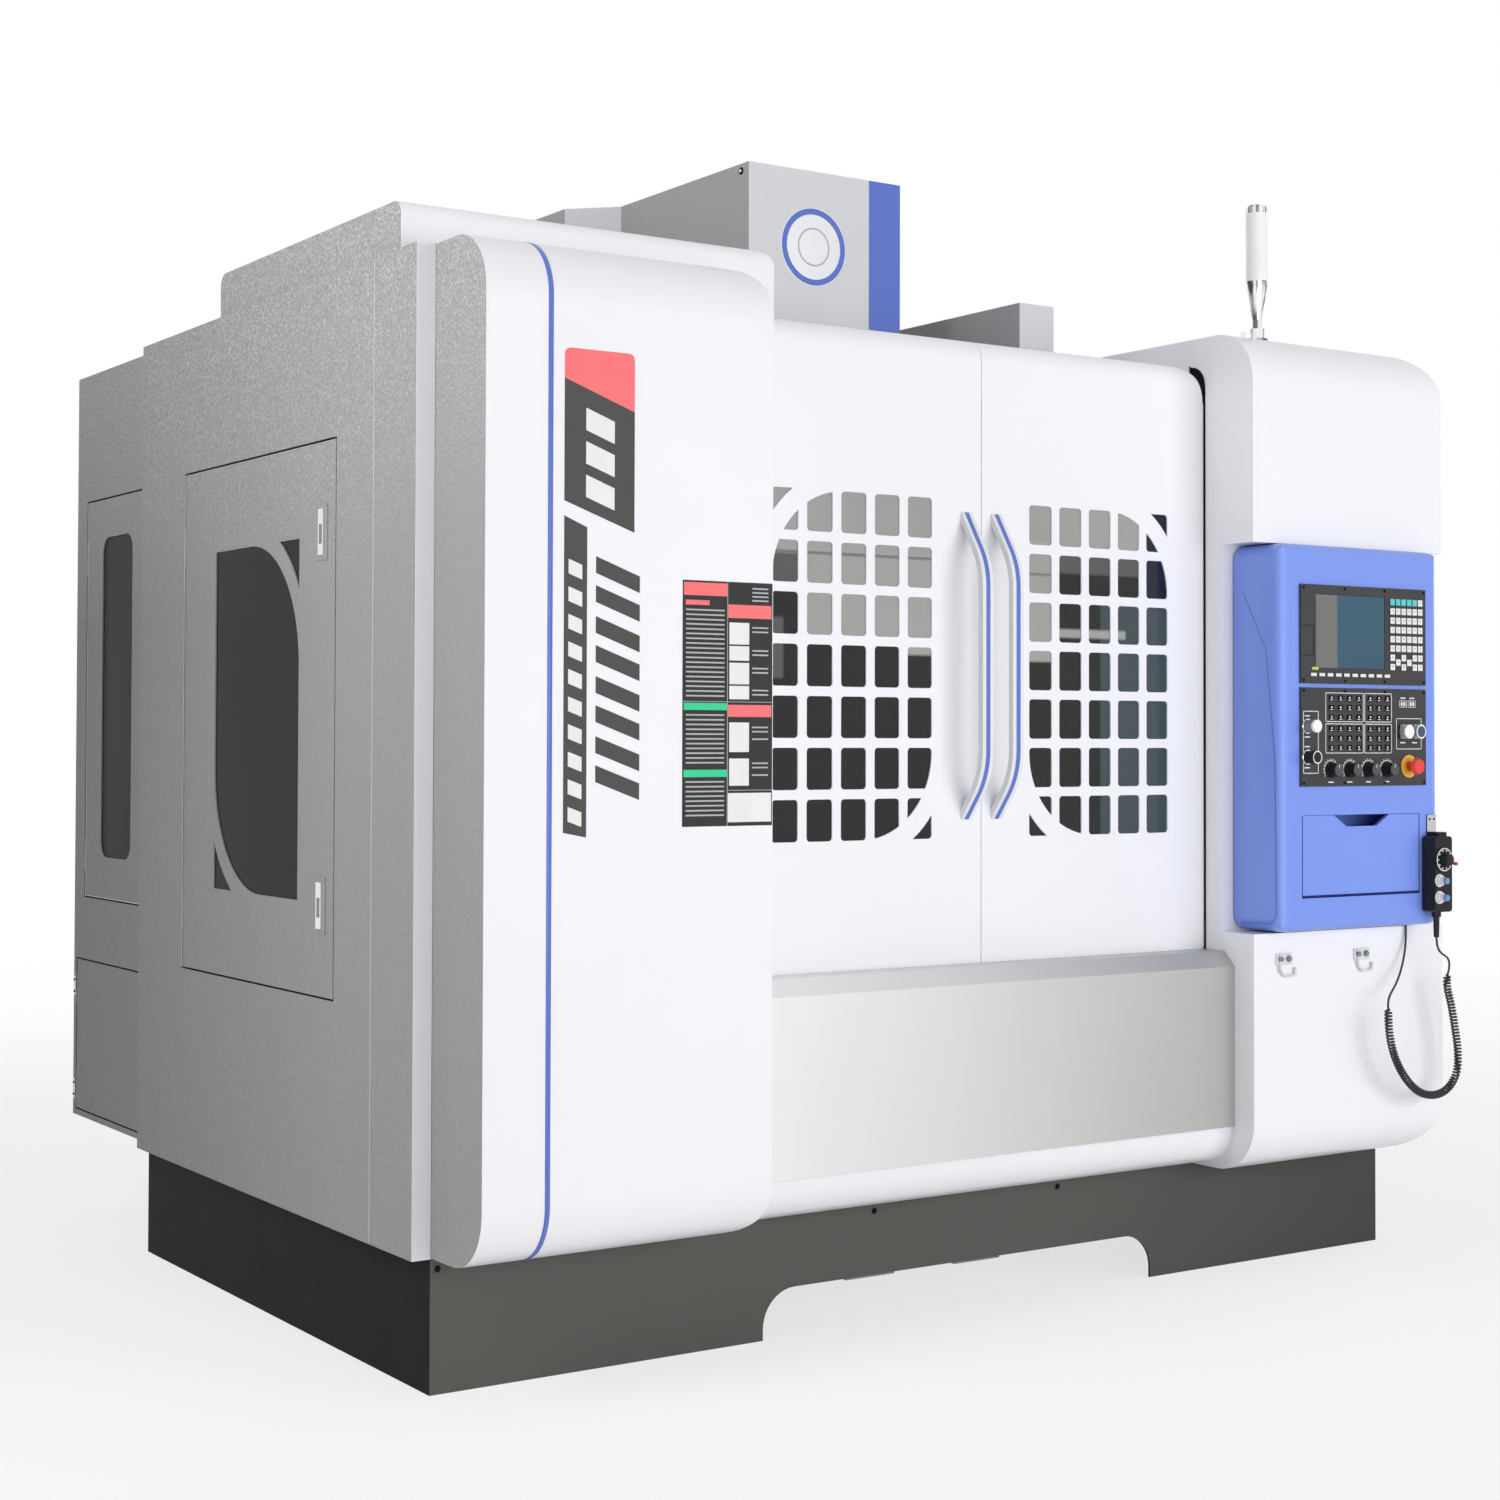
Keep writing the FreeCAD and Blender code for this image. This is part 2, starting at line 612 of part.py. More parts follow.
# --------------------------------------------------------------------------- enclosure sheets
def side_panel(side):
    """One side of the enclosure: a folded tray whose flanges stand on the skirt."""
    body = new_body()
    outer = right_plane if side > 0 else left_plane
    fold = outer - side * S.side_fold
    low, high = (fold, outer) if side > 0 else (outer, fold)
    skin_low = fold if side > 0 else outer + S.sheet
    skin_high = outer - S.sheet if side > 0 else fold
    add(body, "x", low, high,
        rectangle(front_plane, back_plane, enclosure_floor, S.shoulder_height))
    cut(body, "x", skin_low, skin_high, rectangle(
        front_plane + S.sheet, back_plane - S.sheet,
        enclosure_floor + S.sheet, S.shoulder_height - S.sheet))
    return body


def left_side_panel():
    body = side_panel(-1)
    gap = S.hinged_gap
    cut(body, "x", left_plane - 1, left_plane + S.sheet + 1, rectangle(
        S.side_door_front - gap, S.side_door_back + 2 * gap,
        S.side_door_bottom - gap, S.side_door_top + gap))
    jamb_back = S.side_door_back + 2 * gap
    jamb = block(left_plane, left_plane + S.hinged_thick, jamb_back, jamb_back + S.sheet,
                 S.side_door_bottom - gap, S.side_door_top + gap)
    stop_depth = left_plane + S.hinged_thick + 1
    stop = block(left_plane + S.sheet, stop_depth + S.sheet, S.side_door_front - gap - S.sheet,
                 S.side_door_front - gap, S.side_door_bottom - gap, S.side_door_top + gap)
    hinges = frame_hinges(left_plane + S.barrel_radius, S.side_door_back + gap,
                          side_hinge_heights)
    return node(fused(body, jamb, stop, *hinges), "left_side_panel")


def rear_panel():
    """Back of the enclosure, open round the bed and the column."""
    body = new_body()
    floor = enclosure_floor
    half_bed = S.bed_width / 2 + S.running_gap
    half_column = S.column_width / 2 + S.column_side_gap
    bed_line = S.bed_top + S.running_gap
    column_line = column_top + S.column_top_gap
    step_left, step_right = left_cover_right, right_cover_left
    add(body, "y", back_plane, back_plane + S.sheet, Loop(
        (left_plane, floor), (-half_bed, floor), (-half_bed, bed_line),
        (-half_column, bed_line), (-half_column, column_line), (half_column, column_line),
        (half_column, bed_line), (half_bed, bed_line), (half_bed, floor),
        (right_plane, floor), (right_plane, cover_top),
        (step_right, cover_top), (step_right, roof_height),
        (step_left, roof_height), (step_left, cover_top),
        (left_plane, cover_top)))
    return node(body, "rear_panel")


def roof_panel():
    """Roof folded down between two shoulders, with the head's opening and the door track."""
    body = new_body()
    left = left_plane + S.side_fold
    right = right_plane - S.side_fold
    low, high, skin = roof_height, cover_top, S.sheet
    step_left, step_right = left_cover_right, right_cover_left
    add(body, "y", front_plane, back_plane, Loop(
        (left, high), (left, high - skin), (step_left - skin, high - skin),
        (step_left - skin, low - skin), (step_right + skin, low - skin),
        (step_right + skin, high - skin), (right, high - skin), (right, high),
        (step_right, high), (step_right, low), (step_left, low), (step_left, high)))
    half = S.hood_width / 2 - 2 * S.sheet
    cut(body, "z", low - skin - 1, low + 1,
        rectangle(-half, half, hood_front + 2 * S.sheet, S.column_front - 2))
    add(body, "x", step_left, step_right,
        rectangle(front_plane + S.track_setback, track_back, track_floor, low - skin))
    return node(body, "roof_panel")


def cover_block(inset):
    """The roof cover's solid form, or its hollow, whose sheet is that far inside."""
    body = new_body()
    left = left_plane + S.roof_cover_inset + inset
    right = left_cover_right + S.roof_cover_reach - inset
    step = left_cover_right + inset
    front = front_plane + S.roof_cover_setback + inset
    back = front_plane + S.roof_cover_setback + S.roof_cover_length - inset
    top = cover_top + S.roof_cover_height - inset
    rim, nose = S.roof_cover_round - inset, S.roof_cover_nose - inset
    below = sized(1 if inset.number else 0)
    add(body, "y", front, back, Loop(
        (left, cover_top - below), (step, cover_top - below), (step, roof_height - below),
        (right, roof_height - below), (right, top, rim), (left, top)))
    for edge, away in ((front, -1), (back, 1)):
        round_off(body, "x", left - 1, right + 1, (edge, top), (away, 1), nose)
    return body


def roof_cover():
    """Folded cover on the left shoulder, reaching down to the roof beyond the step."""
    return node(without(cover_block(sized(0)), cover_block(S.sheet)), "roof_cover")


def roof_duct():
    """Long closed air duct on the roof."""
    body = new_body()
    left, right, skin = S.duct_left, S.duct_left + S.duct_width, S.sheet
    front = front_plane + S.duct_setback
    back, top = front + S.duct_length, roof_height + S.duct_height
    add(body, "y", front, back, rectangle(left, right, roof_height, top))
    cut(body, "y", front + skin, back - skin, rectangle(
        left + skin, right - skin, roof_height - 1, top - skin))
    return node(body, "roof_duct")


def hood_outline(inset):
    """The tower's plan: narrow round the head, wider over the column."""
    narrow = S.hood_width / 2 - inset
    wide = S.hood_wide / 2 - inset
    lean = inset * MITRE
    shoulder = S.column_front - S.flare_lead + lean
    flare = shoulder + (S.hood_wide - S.hood_width) / 2
    front = hood_front + inset
    back = back_plane - inset
    return Loop((-narrow, front), (narrow, front), (narrow, shoulder), (wide, flare),
                (wide, back), (-wide, back), (-wide, flare), (-narrow, shoulder))


def tower_hood():
    body = new_body()
    top = roof_height + S.hood_height
    add(body, "z", roof_height, top, hood_outline(sized(0)))
    cut(body, "z", roof_height - 1, top - S.sheet, hood_outline(S.sheet))
    return node(body, "tower_hood")


# --------------------------------------------------------------------------- front covers
def rounded_shell(left, right, front, back, bottom, top, front_rounds, corners, notch=None):
    """A solid with rounded front edges and rounded corners in its front view."""
    body = new_body()
    low_round, high_round = front_rounds
    add(body, "x", left, right, Loop(
        (back, bottom), (back, top), (front, top, high_round), (front, bottom, low_round))
        if low_round else Loop(
        (back, bottom), (back, top), (front, top, high_round), (front, bottom)))
    for side, up, radius in corners:
        edge = right if side > 0 else left
        level = top if up > 0 else bottom
        round_off(body, "y", front - 2, back + 1, (edge, level), (side, up), radius)
    if notch:
        cut(body, "x", left - 1, right + 1, rectangle(front - 2, notch[0], notch[1], notch[2]))
    return body


def door_slot(edge):
    """The opening in a cover's inner side that a sliding door passes through."""
    return block(edge - REACH, edge + REACH, door_front - S.slot_clearance, front_plane + REACH,
                 S.door_bottom - S.sill_height - S.sheet, door_top + S.slot_above)


def left_front_cover():
    """Deep rounded cover that the left door slides into."""
    skin = S.sheet
    bottom = S.base_height + S.left_cover_lift
    corners = ((1, 1, S.left_cover_corner), (1, -1, S.left_cover_corner))
    inner_corners = tuple((a, b, radius - skin) for a, b, radius in corners)
    outer = rounded_shell(left_cover_left, left_cover_right, cover_front, front_plane,
                          bottom, cover_top, (S.cover_round, S.cover_round), corners)
    core = rounded_shell(left_cover_left + skin, left_cover_right - skin, cover_front + skin,
                         front_plane + 1, bottom + skin, cover_top - skin,
                         (S.cover_round - skin, S.cover_round - skin), inner_corners)
    return node(without(outer, core, door_slot(left_cover_right)), "left_front_cover")


def right_column_cover():
    """Rounded column on the right, notched for the control box and slotted for the door."""
    skin = S.sheet
    left, right = right_cover_left, right_cover_right
    bottom = S.base_height - S.right_cover_drop
    corners = ((1, 1, S.right_cover_corner), (1, -1, S.right_cover_corner))
    inner_corners = tuple((a, b, radius - skin) for a, b, radius in corners)
    notch_wall = front_plane - S.notch_depth
    outer = rounded_shell(left, right, cover_front, front_plane, bottom,
                          cover_top, (S.cover_round, S.cover_round), corners,
                          (notch_wall, S.notch_bottom, notch_top))
    core = rounded_shell(left + skin, right - skin, cover_front + skin, front_plane + 1,
                         bottom + skin, cover_top - skin,
                         (S.cover_round - skin, S.cover_round - skin), inner_corners,
                         (notch_wall + skin, S.notch_bottom - skin, notch_top + skin))
    shell = without(outer, core, door_slot(left))
    low_pin = rod("z", pivot_x, pivot_y, S.notch_bottom - 1, S.pivot_radius,
                  S.pivot_length + 1)
    high_pin = rod("z", pivot_x, pivot_y, notch_top - S.pivot_length, S.pivot_radius,
                   S.pivot_length + 1)
    return node(fused(shell, low_pin, high_pin), "right_column_cover")


def lower_front_panel():
    """Folded panel below the doors: upright face, chamfer and a flange back to the doors."""
    body = new_body()
    skin, slope = S.sheet, S.panel_chamfer
    face = front_plane - S.panel_standoff
    fold = shelf_top - slope
    lean = skin * MITRE
    flange_end = door_front - S.shelf_gap
    add(body, "x", left_cover_right, right_cover_left, Loop(
        (face, panel_bottom), (face + skin, panel_bottom), (face + skin, fold - lean),
        (face + slope + lean, shelf_top - skin), (flange_end, shelf_top - skin),
        (flange_end, shelf_top), (face + slope, shelf_top), (face, fold)))
    return node(body, "lower_front_panel")


def kick_strip():
    """White rounded strip that closes the front below the panel."""
    body = new_body()
    skin = S.sheet
    face = front_plane - S.kick_standoff
    low, radius = S.base_height + S.kick_lift, S.kick_round
    add(body, "x", left_cover_right, right_cover_left, Loop(
        (face, panel_bottom), (face, low, radius), (front_plane, low),
        (front_plane, low + skin), (face + skin, low + skin, radius - skin),
        (face + skin, panel_bottom)))
    return node(body, "kick_strip")


def door_sill():
    """Rail that the sliding doors run on, between the two front covers."""
    floor = S.door_bottom - S.running_gap
    base = block(left_cover_left + S.sheet, right_cover_right - S.sheet,
                 door_front + S.sill_setback, front_plane, floor - S.sill_height, floor)
    return node(base, "door_sill")


# --------------------------------------------------------------------------- sliding doors
def door_edges(side):
    """The door's edge at the middle of the front, and its edge behind the cover."""
    inner = S.door_split + side * S.door_gap / 2
    outer = left_cover_right - S.door_lap if side < 0 else right_cover_left - S.door_reveal
    return inner, outer


def ordered(side, inner, outer):
    return (inner, outer) if side > 0 else (outer, inner)


def grid_ends(side):
    """Where the grid begins and ends across the door."""
    inner, outer = door_edges(side)
    return inner + side * S.grid_inset, outer - side * S.grid_margin


def sliding_door(side, name):
    """One door tray: rounded top, cut-out grid and two curved bands over its corners."""
    skin = S.door_sheet
    inner, outer = door_edges(side)
    left, right = ordered(side, inner, outer)
    shell = rounded_shell(left, right, door_front, door_back, S.door_bottom, door_top,
                          (None, S.door_front_round), ((side, 1, S.door_corner),))
    core = rounded_shell(left + skin, right - skin, door_front + skin, door_back + 1,
                         S.door_bottom + skin, door_top - skin,
                         (None, S.door_front_round - skin),
                         ((side, 1, S.door_corner - skin),))
    tray = without(shell, core)
    grid = new_body()
    near, far = grid_ends(side)
    pitch_x = (side * (far - near) + S.grid_post) / COLUMNS
    pitch_z = (S.grid_top - S.grid_bottom + S.grid_bar) / ROWS
    cells = []
    for column in range(COLUMNS):
        start = near + side * column * pitch_x
        low_x, high_x = ordered(side, start, start + side * (pitch_x - S.grid_post))
        cells.append(rectangle(low_x, high_x, S.grid_bottom,
                               S.grid_bottom + pitch_z - S.grid_bar, S.cell_round))
    row = add(grid, "y", door_front - 1, door_front + skin + 1, *cells)
    repeat(grid, row, "Z_Axis", pitch_z, ROWS)
    bands = []
    radius, width = S.band_radius, S.band_width
    for edge, reach, level, rise in ((far, side, S.grid_top, 1), (near, -side, S.grid_bottom, -1)):
        band = new_body()
        add(band, "y", door_front, door_front + skin,
            sector(edge - reach * radius, level - rise * radius, radius, radius + width,
                   reach, rise))
        bands.append(band)
    hangers = []
    for start in (inner + side * S.hanger_inset,
                  outer - side * (S.hanger_inset + S.hanger_width)):
        low_x, high_x = ordered(side, start, start + side * S.hanger_width)
        hanger_top = track_floor - S.running_gap
        hangers.append(block(low_x, high_x, door_front + 1, track_back + 2,
                             hanger_top - S.hanger_height, hanger_top))
    return node(fused(without(tray, grid), *bands, *hangers), name)


def door_glass(side, name):
    """Pane behind the door's grid."""
    near, far = grid_ends(side)
    left, right = ordered(side, near - side * S.glass_lap, far + side * S.glass_lap)
    back = door_front + S.door_sheet + S.glass_thick
    pane = block(left, right, door_front + S.door_sheet, back,
                 S.grid_bottom - S.glass_lap, S.grid_top + S.glass_lap)
    return node(pane, name)


def door_handle(side, name):
    """Flat bar bent out from the door and back, with wide smooth bends."""
    body = new_body()
    middle = S.door_split + side * S.handle_spacing
    outer = door_front - S.handle_reach
    inner = outer + S.handle_thick
    foot, lean = S.handle_foot, 0.3 * S.handle_thick
    low, high = S.handle_bottom, S.handle_top
    low_bend, high_bend = S.handle_straight_bottom, S.handle_straight_top
    add(body, "x", middle - S.handle_width / 2, middle + S.handle_width / 2, Loop(
        (door_front, low), (outer, low_bend), (outer, high_bend), (door_front, high),
        (door_front, high - foot), (inner, high_bend - lean), (inner, low_bend + lean),
        (door_front, low + foot)))
    round_edges(body, S.handle_bend + S.handle_thick,
                point_at(middle, outer, low_bend), point_at(middle, outer, high_bend))
    round_edges(body, S.handle_bend,
                point_at(middle, inner, low_bend + lean), point_at(middle, inner, high_bend - lean))
    return node(body, name)


# --------------------------------------------------------------------------- lift-off hinges
def frame_hinges(x, y, heights):
    """Fixed hinge halves: a barrel with an upright pin, joined to the frame towards +Y."""
    parts = []
    radius, length = S.barrel_radius, S.barrel_length
    for height in heights:
        parts.append(rod("z", x, y, height - length, radius, length))
        parts.append(rod("z", x, y, height - S.pin_overlap, S.pin_radius, length))
        parts.append(block(x - radius, x + radius, y, y + S.hinged_gap + 2,
                           height - length, height))
    return parts


def door_hinges(x, y, heights):
    """Moving hinge halves over the pins, joined to the door towards -Y, and their bores."""
    halves, bores = [], []
    radius, length = S.barrel_radius, S.barrel_length
    for height in heights:
        floor = height + S.running_gap
        halves.append(rod("z", x, y, floor, radius, length))
        halves.append(block(x - radius, x + radius, y - S.hinged_gap - 2, y,
                            floor, floor + length))
        bores.append(rod("z", x, y, floor - 1, S.pin_radius + S.pin_clearance, length))
    return halves, bores


def hinged_tray(front, back, bottom, top, plane, window=None):
    """A door tray on the machine's left side: thin skin outside, folded rim inside."""
    body = new_body()
    skin = S.sheet
    add(body, "x", plane, plane + S.hinged_thick, rectangle(front, back, bottom, top))
    cut(body, "x", plane + skin, plane + S.hinged_thick + 1,
        rectangle(front + skin, back - skin, bottom + skin, top - skin))
    if window:
        cut(body, "x", plane - 1, plane + skin + 1, window)
    return body


def side_door():
    """Hinged service door with a window whose two corners are crossed by curved bands."""
    front, back = S.side_door_front, S.side_door_back
    window = rectangle(S.side_window_front, S.side_window_back, S.side_window_bottom,
                       S.side_window_top)
    tray = hinged_tray(front, back, S.side_door_bottom, S.side_door_top, left_plane, window)
    bands = []
    radius = S.side_arc
    for sign in (-1, 1):
        centre_y = S.side_window_front + radius if sign < 0 else S.side_window_back - radius
        centre_z = S.side_window_top - radius if sign < 0 else S.side_window_bottom + radius
        body = new_body()
        add(body, "x", left_plane, left_plane + S.sheet,
            sector(centre_y, centre_z, radius, radius + S.band_width, sign, -sign))
        bands.append(body)
    plates = []
    low_y = front + S.latch_inset - S.latch_width / 2
    for height in (S.latch_low, S.latch_high):
        plates.append(block(left_plane - S.latch_plate, left_plane + 2, low_y,
                            low_y + S.latch_width, height - S.latch_height / 2,
                            height + S.latch_height / 2))
    halves, bores = door_hinges(left_plane + S.barrel_radius, back + S.hinged_gap,
                                side_hinge_heights)
    return node(without(fused(tray, *bands, *plates, *halves), *bores), "side_door")


def window_pane(plane, front, back, bottom, top, name):
    """Pane on the inside of a hinged door, lapping its window all round."""
    lap, inside = S.pane_lap, plane + S.sheet
    pane = block(inside, inside + S.glass_thick, front - lap, back + lap,
                 bottom - lap, top + lap)
    return node(pane, name)


def latch(height, name):
    """Flush pull lever on its latch plate, turning on a short upright pin."""
    middle = S.side_door_front + S.latch_inset
    inner = left_plane - S.latch_plate - S.running_gap
    half_width = S.lever_width / 2
    half_height = S.latch_height / 2 - S.lever_rim
    lever = block(inner - S.lever_thick, inner, middle - half_width, middle + half_width,
                  height - half_height, height + half_height)
    return node(lever, name)


# --------------------------------------------------------------------------- cabinets
def rear_cabinet():
    """Service cabinet behind the left side: two compartments, each with a side door."""
    body = new_body()
    skin = S.sheet
    left, right = cabinet_left, cabinet_right
    front, back = back_plane + skin, cabinet_back
    floor, top = S.base_height, S.shoulder_height
    gap = S.hinged_gap
    add(body, "x", left, right, rectangle(front, back, floor, top))
    cut(body, "x", left + skin, right - skin,
        rectangle(front + skin, back - skin, floor + skin, S.cabinet_seam - skin / 2),
        rectangle(front + skin, back - skin, S.cabinet_seam + skin / 2, top - skin))
    cut(body, "x", left - 1, left + skin + 1,
        rectangle(upper_door_front - gap, upper_door_back + 2 * gap,
                  S.upper_door_bottom - gap, S.upper_door_top + gap),
        rectangle(lower_door_front - gap, lower_door_back + 2 * gap,
                  lower_door_bottom - gap, lower_door_top + gap))
    axis_x = left + S.barrel_radius
    hinges = frame_hinges(axis_x, upper_door_back + gap, upper_hinge_heights)
    hinges += frame_hinges(axis_x, lower_door_back + gap, lower_hinge_heights)
    shelf = block(left + S.shelf_setback, right - skin, front + skin, back - skin,
                  shelf_height - skin, shelf_height)
    return node(fused(body, shelf, *hinges), "rear_cabinet")


def cabinet_door(front, back, bottom, top, heights, name, window=None):
    """One hinged door of the rear cabinet."""
    tray = hinged_tray(front, back, bottom, top, cabinet_left, window)
    halves, bores = door_hinges(cabinet_left + S.barrel_radius, back + S.hinged_gap, heights)
    return node(without(fused(tray, *halves), *bores), name)


def lubrication_tank():
    """Oil bottle on the cabinet's shelf, with its screw cap."""
    middle_y = (upper_window_front + upper_window_back) / 2
    left = cabinet_left + S.tank_setback
    middle_x = left + S.tank_depth / 2
    floor, shoulder = shelf_height, shelf_height + S.tank_height
    body = new_body()
    add(body, "z", floor, shoulder, rectangle(
        left, left + S.tank_depth, middle_y - S.tank_width / 2, middle_y + S.tank_width / 2,
        S.tank_round))
    neck = cone("z", middle_x, middle_y, shoulder, S.neck_radius, S.cap_radius - 2,
                S.neck_height)
    cap = rod("z", middle_x, middle_y, shoulder + S.neck_height - 2, S.cap_radius,
              S.cap_height)
    return node(fused(body, neck, cap), "lubrication_tank")


def electrical_cabinet():
    """Electrical cabinet on the back, right of the column."""
    body = new_body()
    left, right = -cabinet_right, -cabinet_left
    front = back_plane + S.sheet
    back, rim = front + S.electrics_depth, S.electrics_rim
    add(body, "z", S.electrics_floor, S.electrics_top, rectangle(left, right, front, back))
    add(body, "y", back, back + S.electrics_door, rectangle(
        left + rim, right - rim, S.electrics_floor + rim, S.electrics_top - rim, S.cell_round))
    return node(body, "electrical_cabinet")


# --------------------------------------------------------------------------- control box
def control_box():
    """Swivelling control box with rounded front edges and a pocket behind its tray flap."""
    body = new_body()
    left, right = box_left, box_right
    face, back = box_face, front_plane - S.box_back
    bottom, top = box_bottom, box_top
    add(body, "z", bottom, top, Loop(
        (left, face, S.box_round), (right, face, S.box_round),
        (right, back, S.pivot_inset), (left, back)))
    for level, up in ((bottom, -1), (top, 1)):
        round_off(body, "x", left - 1, right + 1, (face, level), (-1, up), S.box_round)
        for edge, side in ((left, -1), (right, 1)):
            round_off(body, "y", face - 1, back + 1, (edge, level), (side, up), S.box_corner)
    tray_right, gap = tray_left + S.tray_width, S.flap_gap
    cut(body, "y", face - 1, face + S.tray_depth, rectangle(
        tray_left - gap, tray_right + gap, tray_bottom - gap, tray_top + gap))
    bore = S.pivot_radius + S.pin_clearance
    bores = [rod("z", pivot_x, pivot_y, bottom - 1, bore, S.pivot_length),
             rod("z", pivot_x, pivot_y, top - S.pivot_length + 1, bore, S.pivot_length)]
    half = S.flap_thick / 2
    pins = [rod("x", pin_x, face + half, tray_bottom + half, S.flap_pin, S.flap_pin_length)
            for pin_x in (tray_left - gap - 1, tray_right + gap + 1 - S.flap_pin_length)]
    return node(fused(without(body, *bores), *pins), "control_box")


def tray_flap():
    """Drop-down front of the tray pocket, with a finger cut-out in its upper edge."""
    body = new_body()
    face, rear = box_face, box_face + S.flap_thick
    left, right = tray_left, tray_left + S.tray_width
    bottom, top = tray_bottom, tray_top
    half = S.flap_thick / 2
    roll = 0.98 * half
    add(body, "x", left, right, Loop(
        (rear, bottom, roll), (rear, top), (face, top), (face, bottom, roll)))
    middle = (left + right) / 2
    cut(body, "y", face - 1, rear + 1, Loop(
        (middle - S.finger_bottom / 2, top - S.finger_depth),
        (middle + S.finger_bottom / 2, top - S.finger_depth),
        (middle + S.finger_top / 2, top + 1), (middle - S.finger_top / 2, top + 1)))
    bores = [rod("x", bore_x, face + half, bottom + half, S.flap_pin + S.pin_clearance,
                 S.flap_pin_length + 1) for bore_x in (left - 1, right - S.flap_pin_length)]
    return node(without(body, *bores), "tray_flap")


# Places on the two modules: right of their upper left corner, and down from it.
SCREEN_SPAN = ((46, 266), (20, 183))
KEYS_PLACE = (281, 22.8)
KEY_ROWS = 6
KEY_COLUMNS = 6
LOW_KEYS = ((0, 6), (0, 7), (1, 6.5), (2, 6), (2, 7), (3, 6.5), (4, 6), (4, 7), (5, 6), (5, 7))
SOFT_KEYS_PLACE = (28, 193)
SOFT_KEYS = 10
OPERATOR_KEYS_X = (93, 121.5, 150, 179.4, 216.4, 244.4, 271.7)
OPERATOR_KEYS_DOWN = (65, 132)
OPERATOR_ROWS = 3
KNOB_PLACES = ((91.5, 180), (151, 180), (210.5, 180), (270, 180))
START_PLACE = (18, 84.6)
STOP_PLACE = (18, 152)
GUARD_PLACES = ((323, 95), (362, 95))
EMERGENCY_PLACE = (342, 173)
STEM_PLACES = {START_PLACE: S.button_stem, STOP_PLACE: S.button_stem,
               GUARD_PLACES[0]: S.small_stem, GUARD_PLACES[1]: S.small_stem,
               EMERGENCY_PLACE: S.small_stem}


def key_patch(x, top, width, height):
    return rectangle(x, x + width, top - height, top)


def screen_module():
    """Screen and keyboard unit with a recessed screen and rows of keys."""
    body = new_body()
    face, rise = module_face, module_face - S.key_rise
    add(body, "y", face, box_face, rectangle(
        module_left, module_left + S.module_width, screen_bottom, screen_top))
    (left, right), (upper, lower) = SCREEN_SPAN
    cut(body, "y", face - 1, face + S.screen_recess, rectangle(
        module_left + left, module_left + right, screen_top - lower, screen_top - upper, 3))

    def screen_key(column, line):
        return key_patch(module_left + KEYS_PLACE[0] + S.screen_key_pitch * column,
                         screen_top - KEYS_PLACE[1] - S.screen_row_pitch * line,
                         S.screen_key_width, S.screen_key_height)

    row = add(body, "y", rise, face, *[
        screen_key(column, KEY_ROWS - 1) for column in range(KEY_COLUMNS)])
    repeat(body, row, "Z_Axis", S.screen_row_pitch, KEY_ROWS)
    add(body, "y", rise, face, *[screen_key(*place) for place in LOW_KEYS])
    add(body, "y", rise, face, *[
        key_patch(module_left + SOFT_KEYS_PLACE[0] + S.soft_key_pitch * index,
                  screen_top - SOFT_KEYS_PLACE[1], S.soft_key_width, S.soft_key_height)
        for index in range(SOFT_KEYS)])
    return node(body, "screen_module")


def operator_module():
    """Operator panel with its key field and a bore for each push button's stem."""
    body = new_body()
    face, rise = module_face, module_face - S.key_rise
    half_width, half_height = S.operator_key_width / 2, S.operator_key_height / 2
    add(body, "y", face, box_face, rectangle(
        module_left, module_left + S.module_width, operator_bottom, operator_top))
    for down in OPERATOR_KEYS_DOWN:
        keys = [key_patch(module_left + x - half_width, operator_top - down + half_height,
                          S.operator_key_width, S.operator_key_height)
                for x in OPERATOR_KEYS_X]
        row = add(body, "y", rise, face, *keys)
        repeat(body, row, "Z_Axis", S.operator_row_pitch, OPERATOR_ROWS)
    bores = []
    for place, stem in STEM_PLACES.items():
        x, z = control_place(place)
        bores.append(rod("y", x, face - 1, z, stem + S.pin_clearance, S.stem_bore_depth + 1))
    return node(without(body, *bores), "operator_module")


def control_place(place):
    """A place on the operator panel, from its upper left corner."""
    right_by, down_by = place
    return module_left + right_by, operator_top - down_by


def knob(place, name):
    """Rotary switch: a slightly tapered grip on a wider skirt."""
    x, z = control_place(place)
    root = module_face - S.knob_standoff
    skirt = rod("y", x, root - S.skirt_length, z, S.knob_radius + 2, S.skirt_length)
    grip = cone("y", x, module_face - S.knob_length, z, S.knob_radius - 1, S.knob_radius,
                S.knob_length - S.knob_standoff - S.skirt_length)
    return node(fused(skirt, grip), name)


def button_stem(x, z, radius):
    """The stem behind a push button's cap, with its end in the panel's bore."""
    return rod("y", x, module_face - S.press_room, z, radius, S.press_room + S.stem_seat)


def push_button(place, name):
    """Round push button on a thinner stem that slides in the panel's bore."""
    x, z = control_place(place)
    cap = rod("y", x, module_face - S.button_length, z, S.button_radius,
              S.button_length - S.press_room)
    return node(fused(cap, button_stem(x, z, S.button_stem)), name)


def guarded_button(place, name):
    """Lit button with a square guard round its lens."""
    x, z = control_place(place)
    half_width, half_height = S.guard_size / 2, S.guard_height / 2
    guard = block(x - half_width, x + half_width, module_face - S.guard_length,
                  module_face - S.press_room, z - half_height, z + half_height)
    lens = rod("y", x, module_face - S.lens_length, z, S.lens_radius,
               S.lens_length - S.guard_length + 1)
    return node(fused(guard, button_stem(x, z, S.small_stem), lens), name)


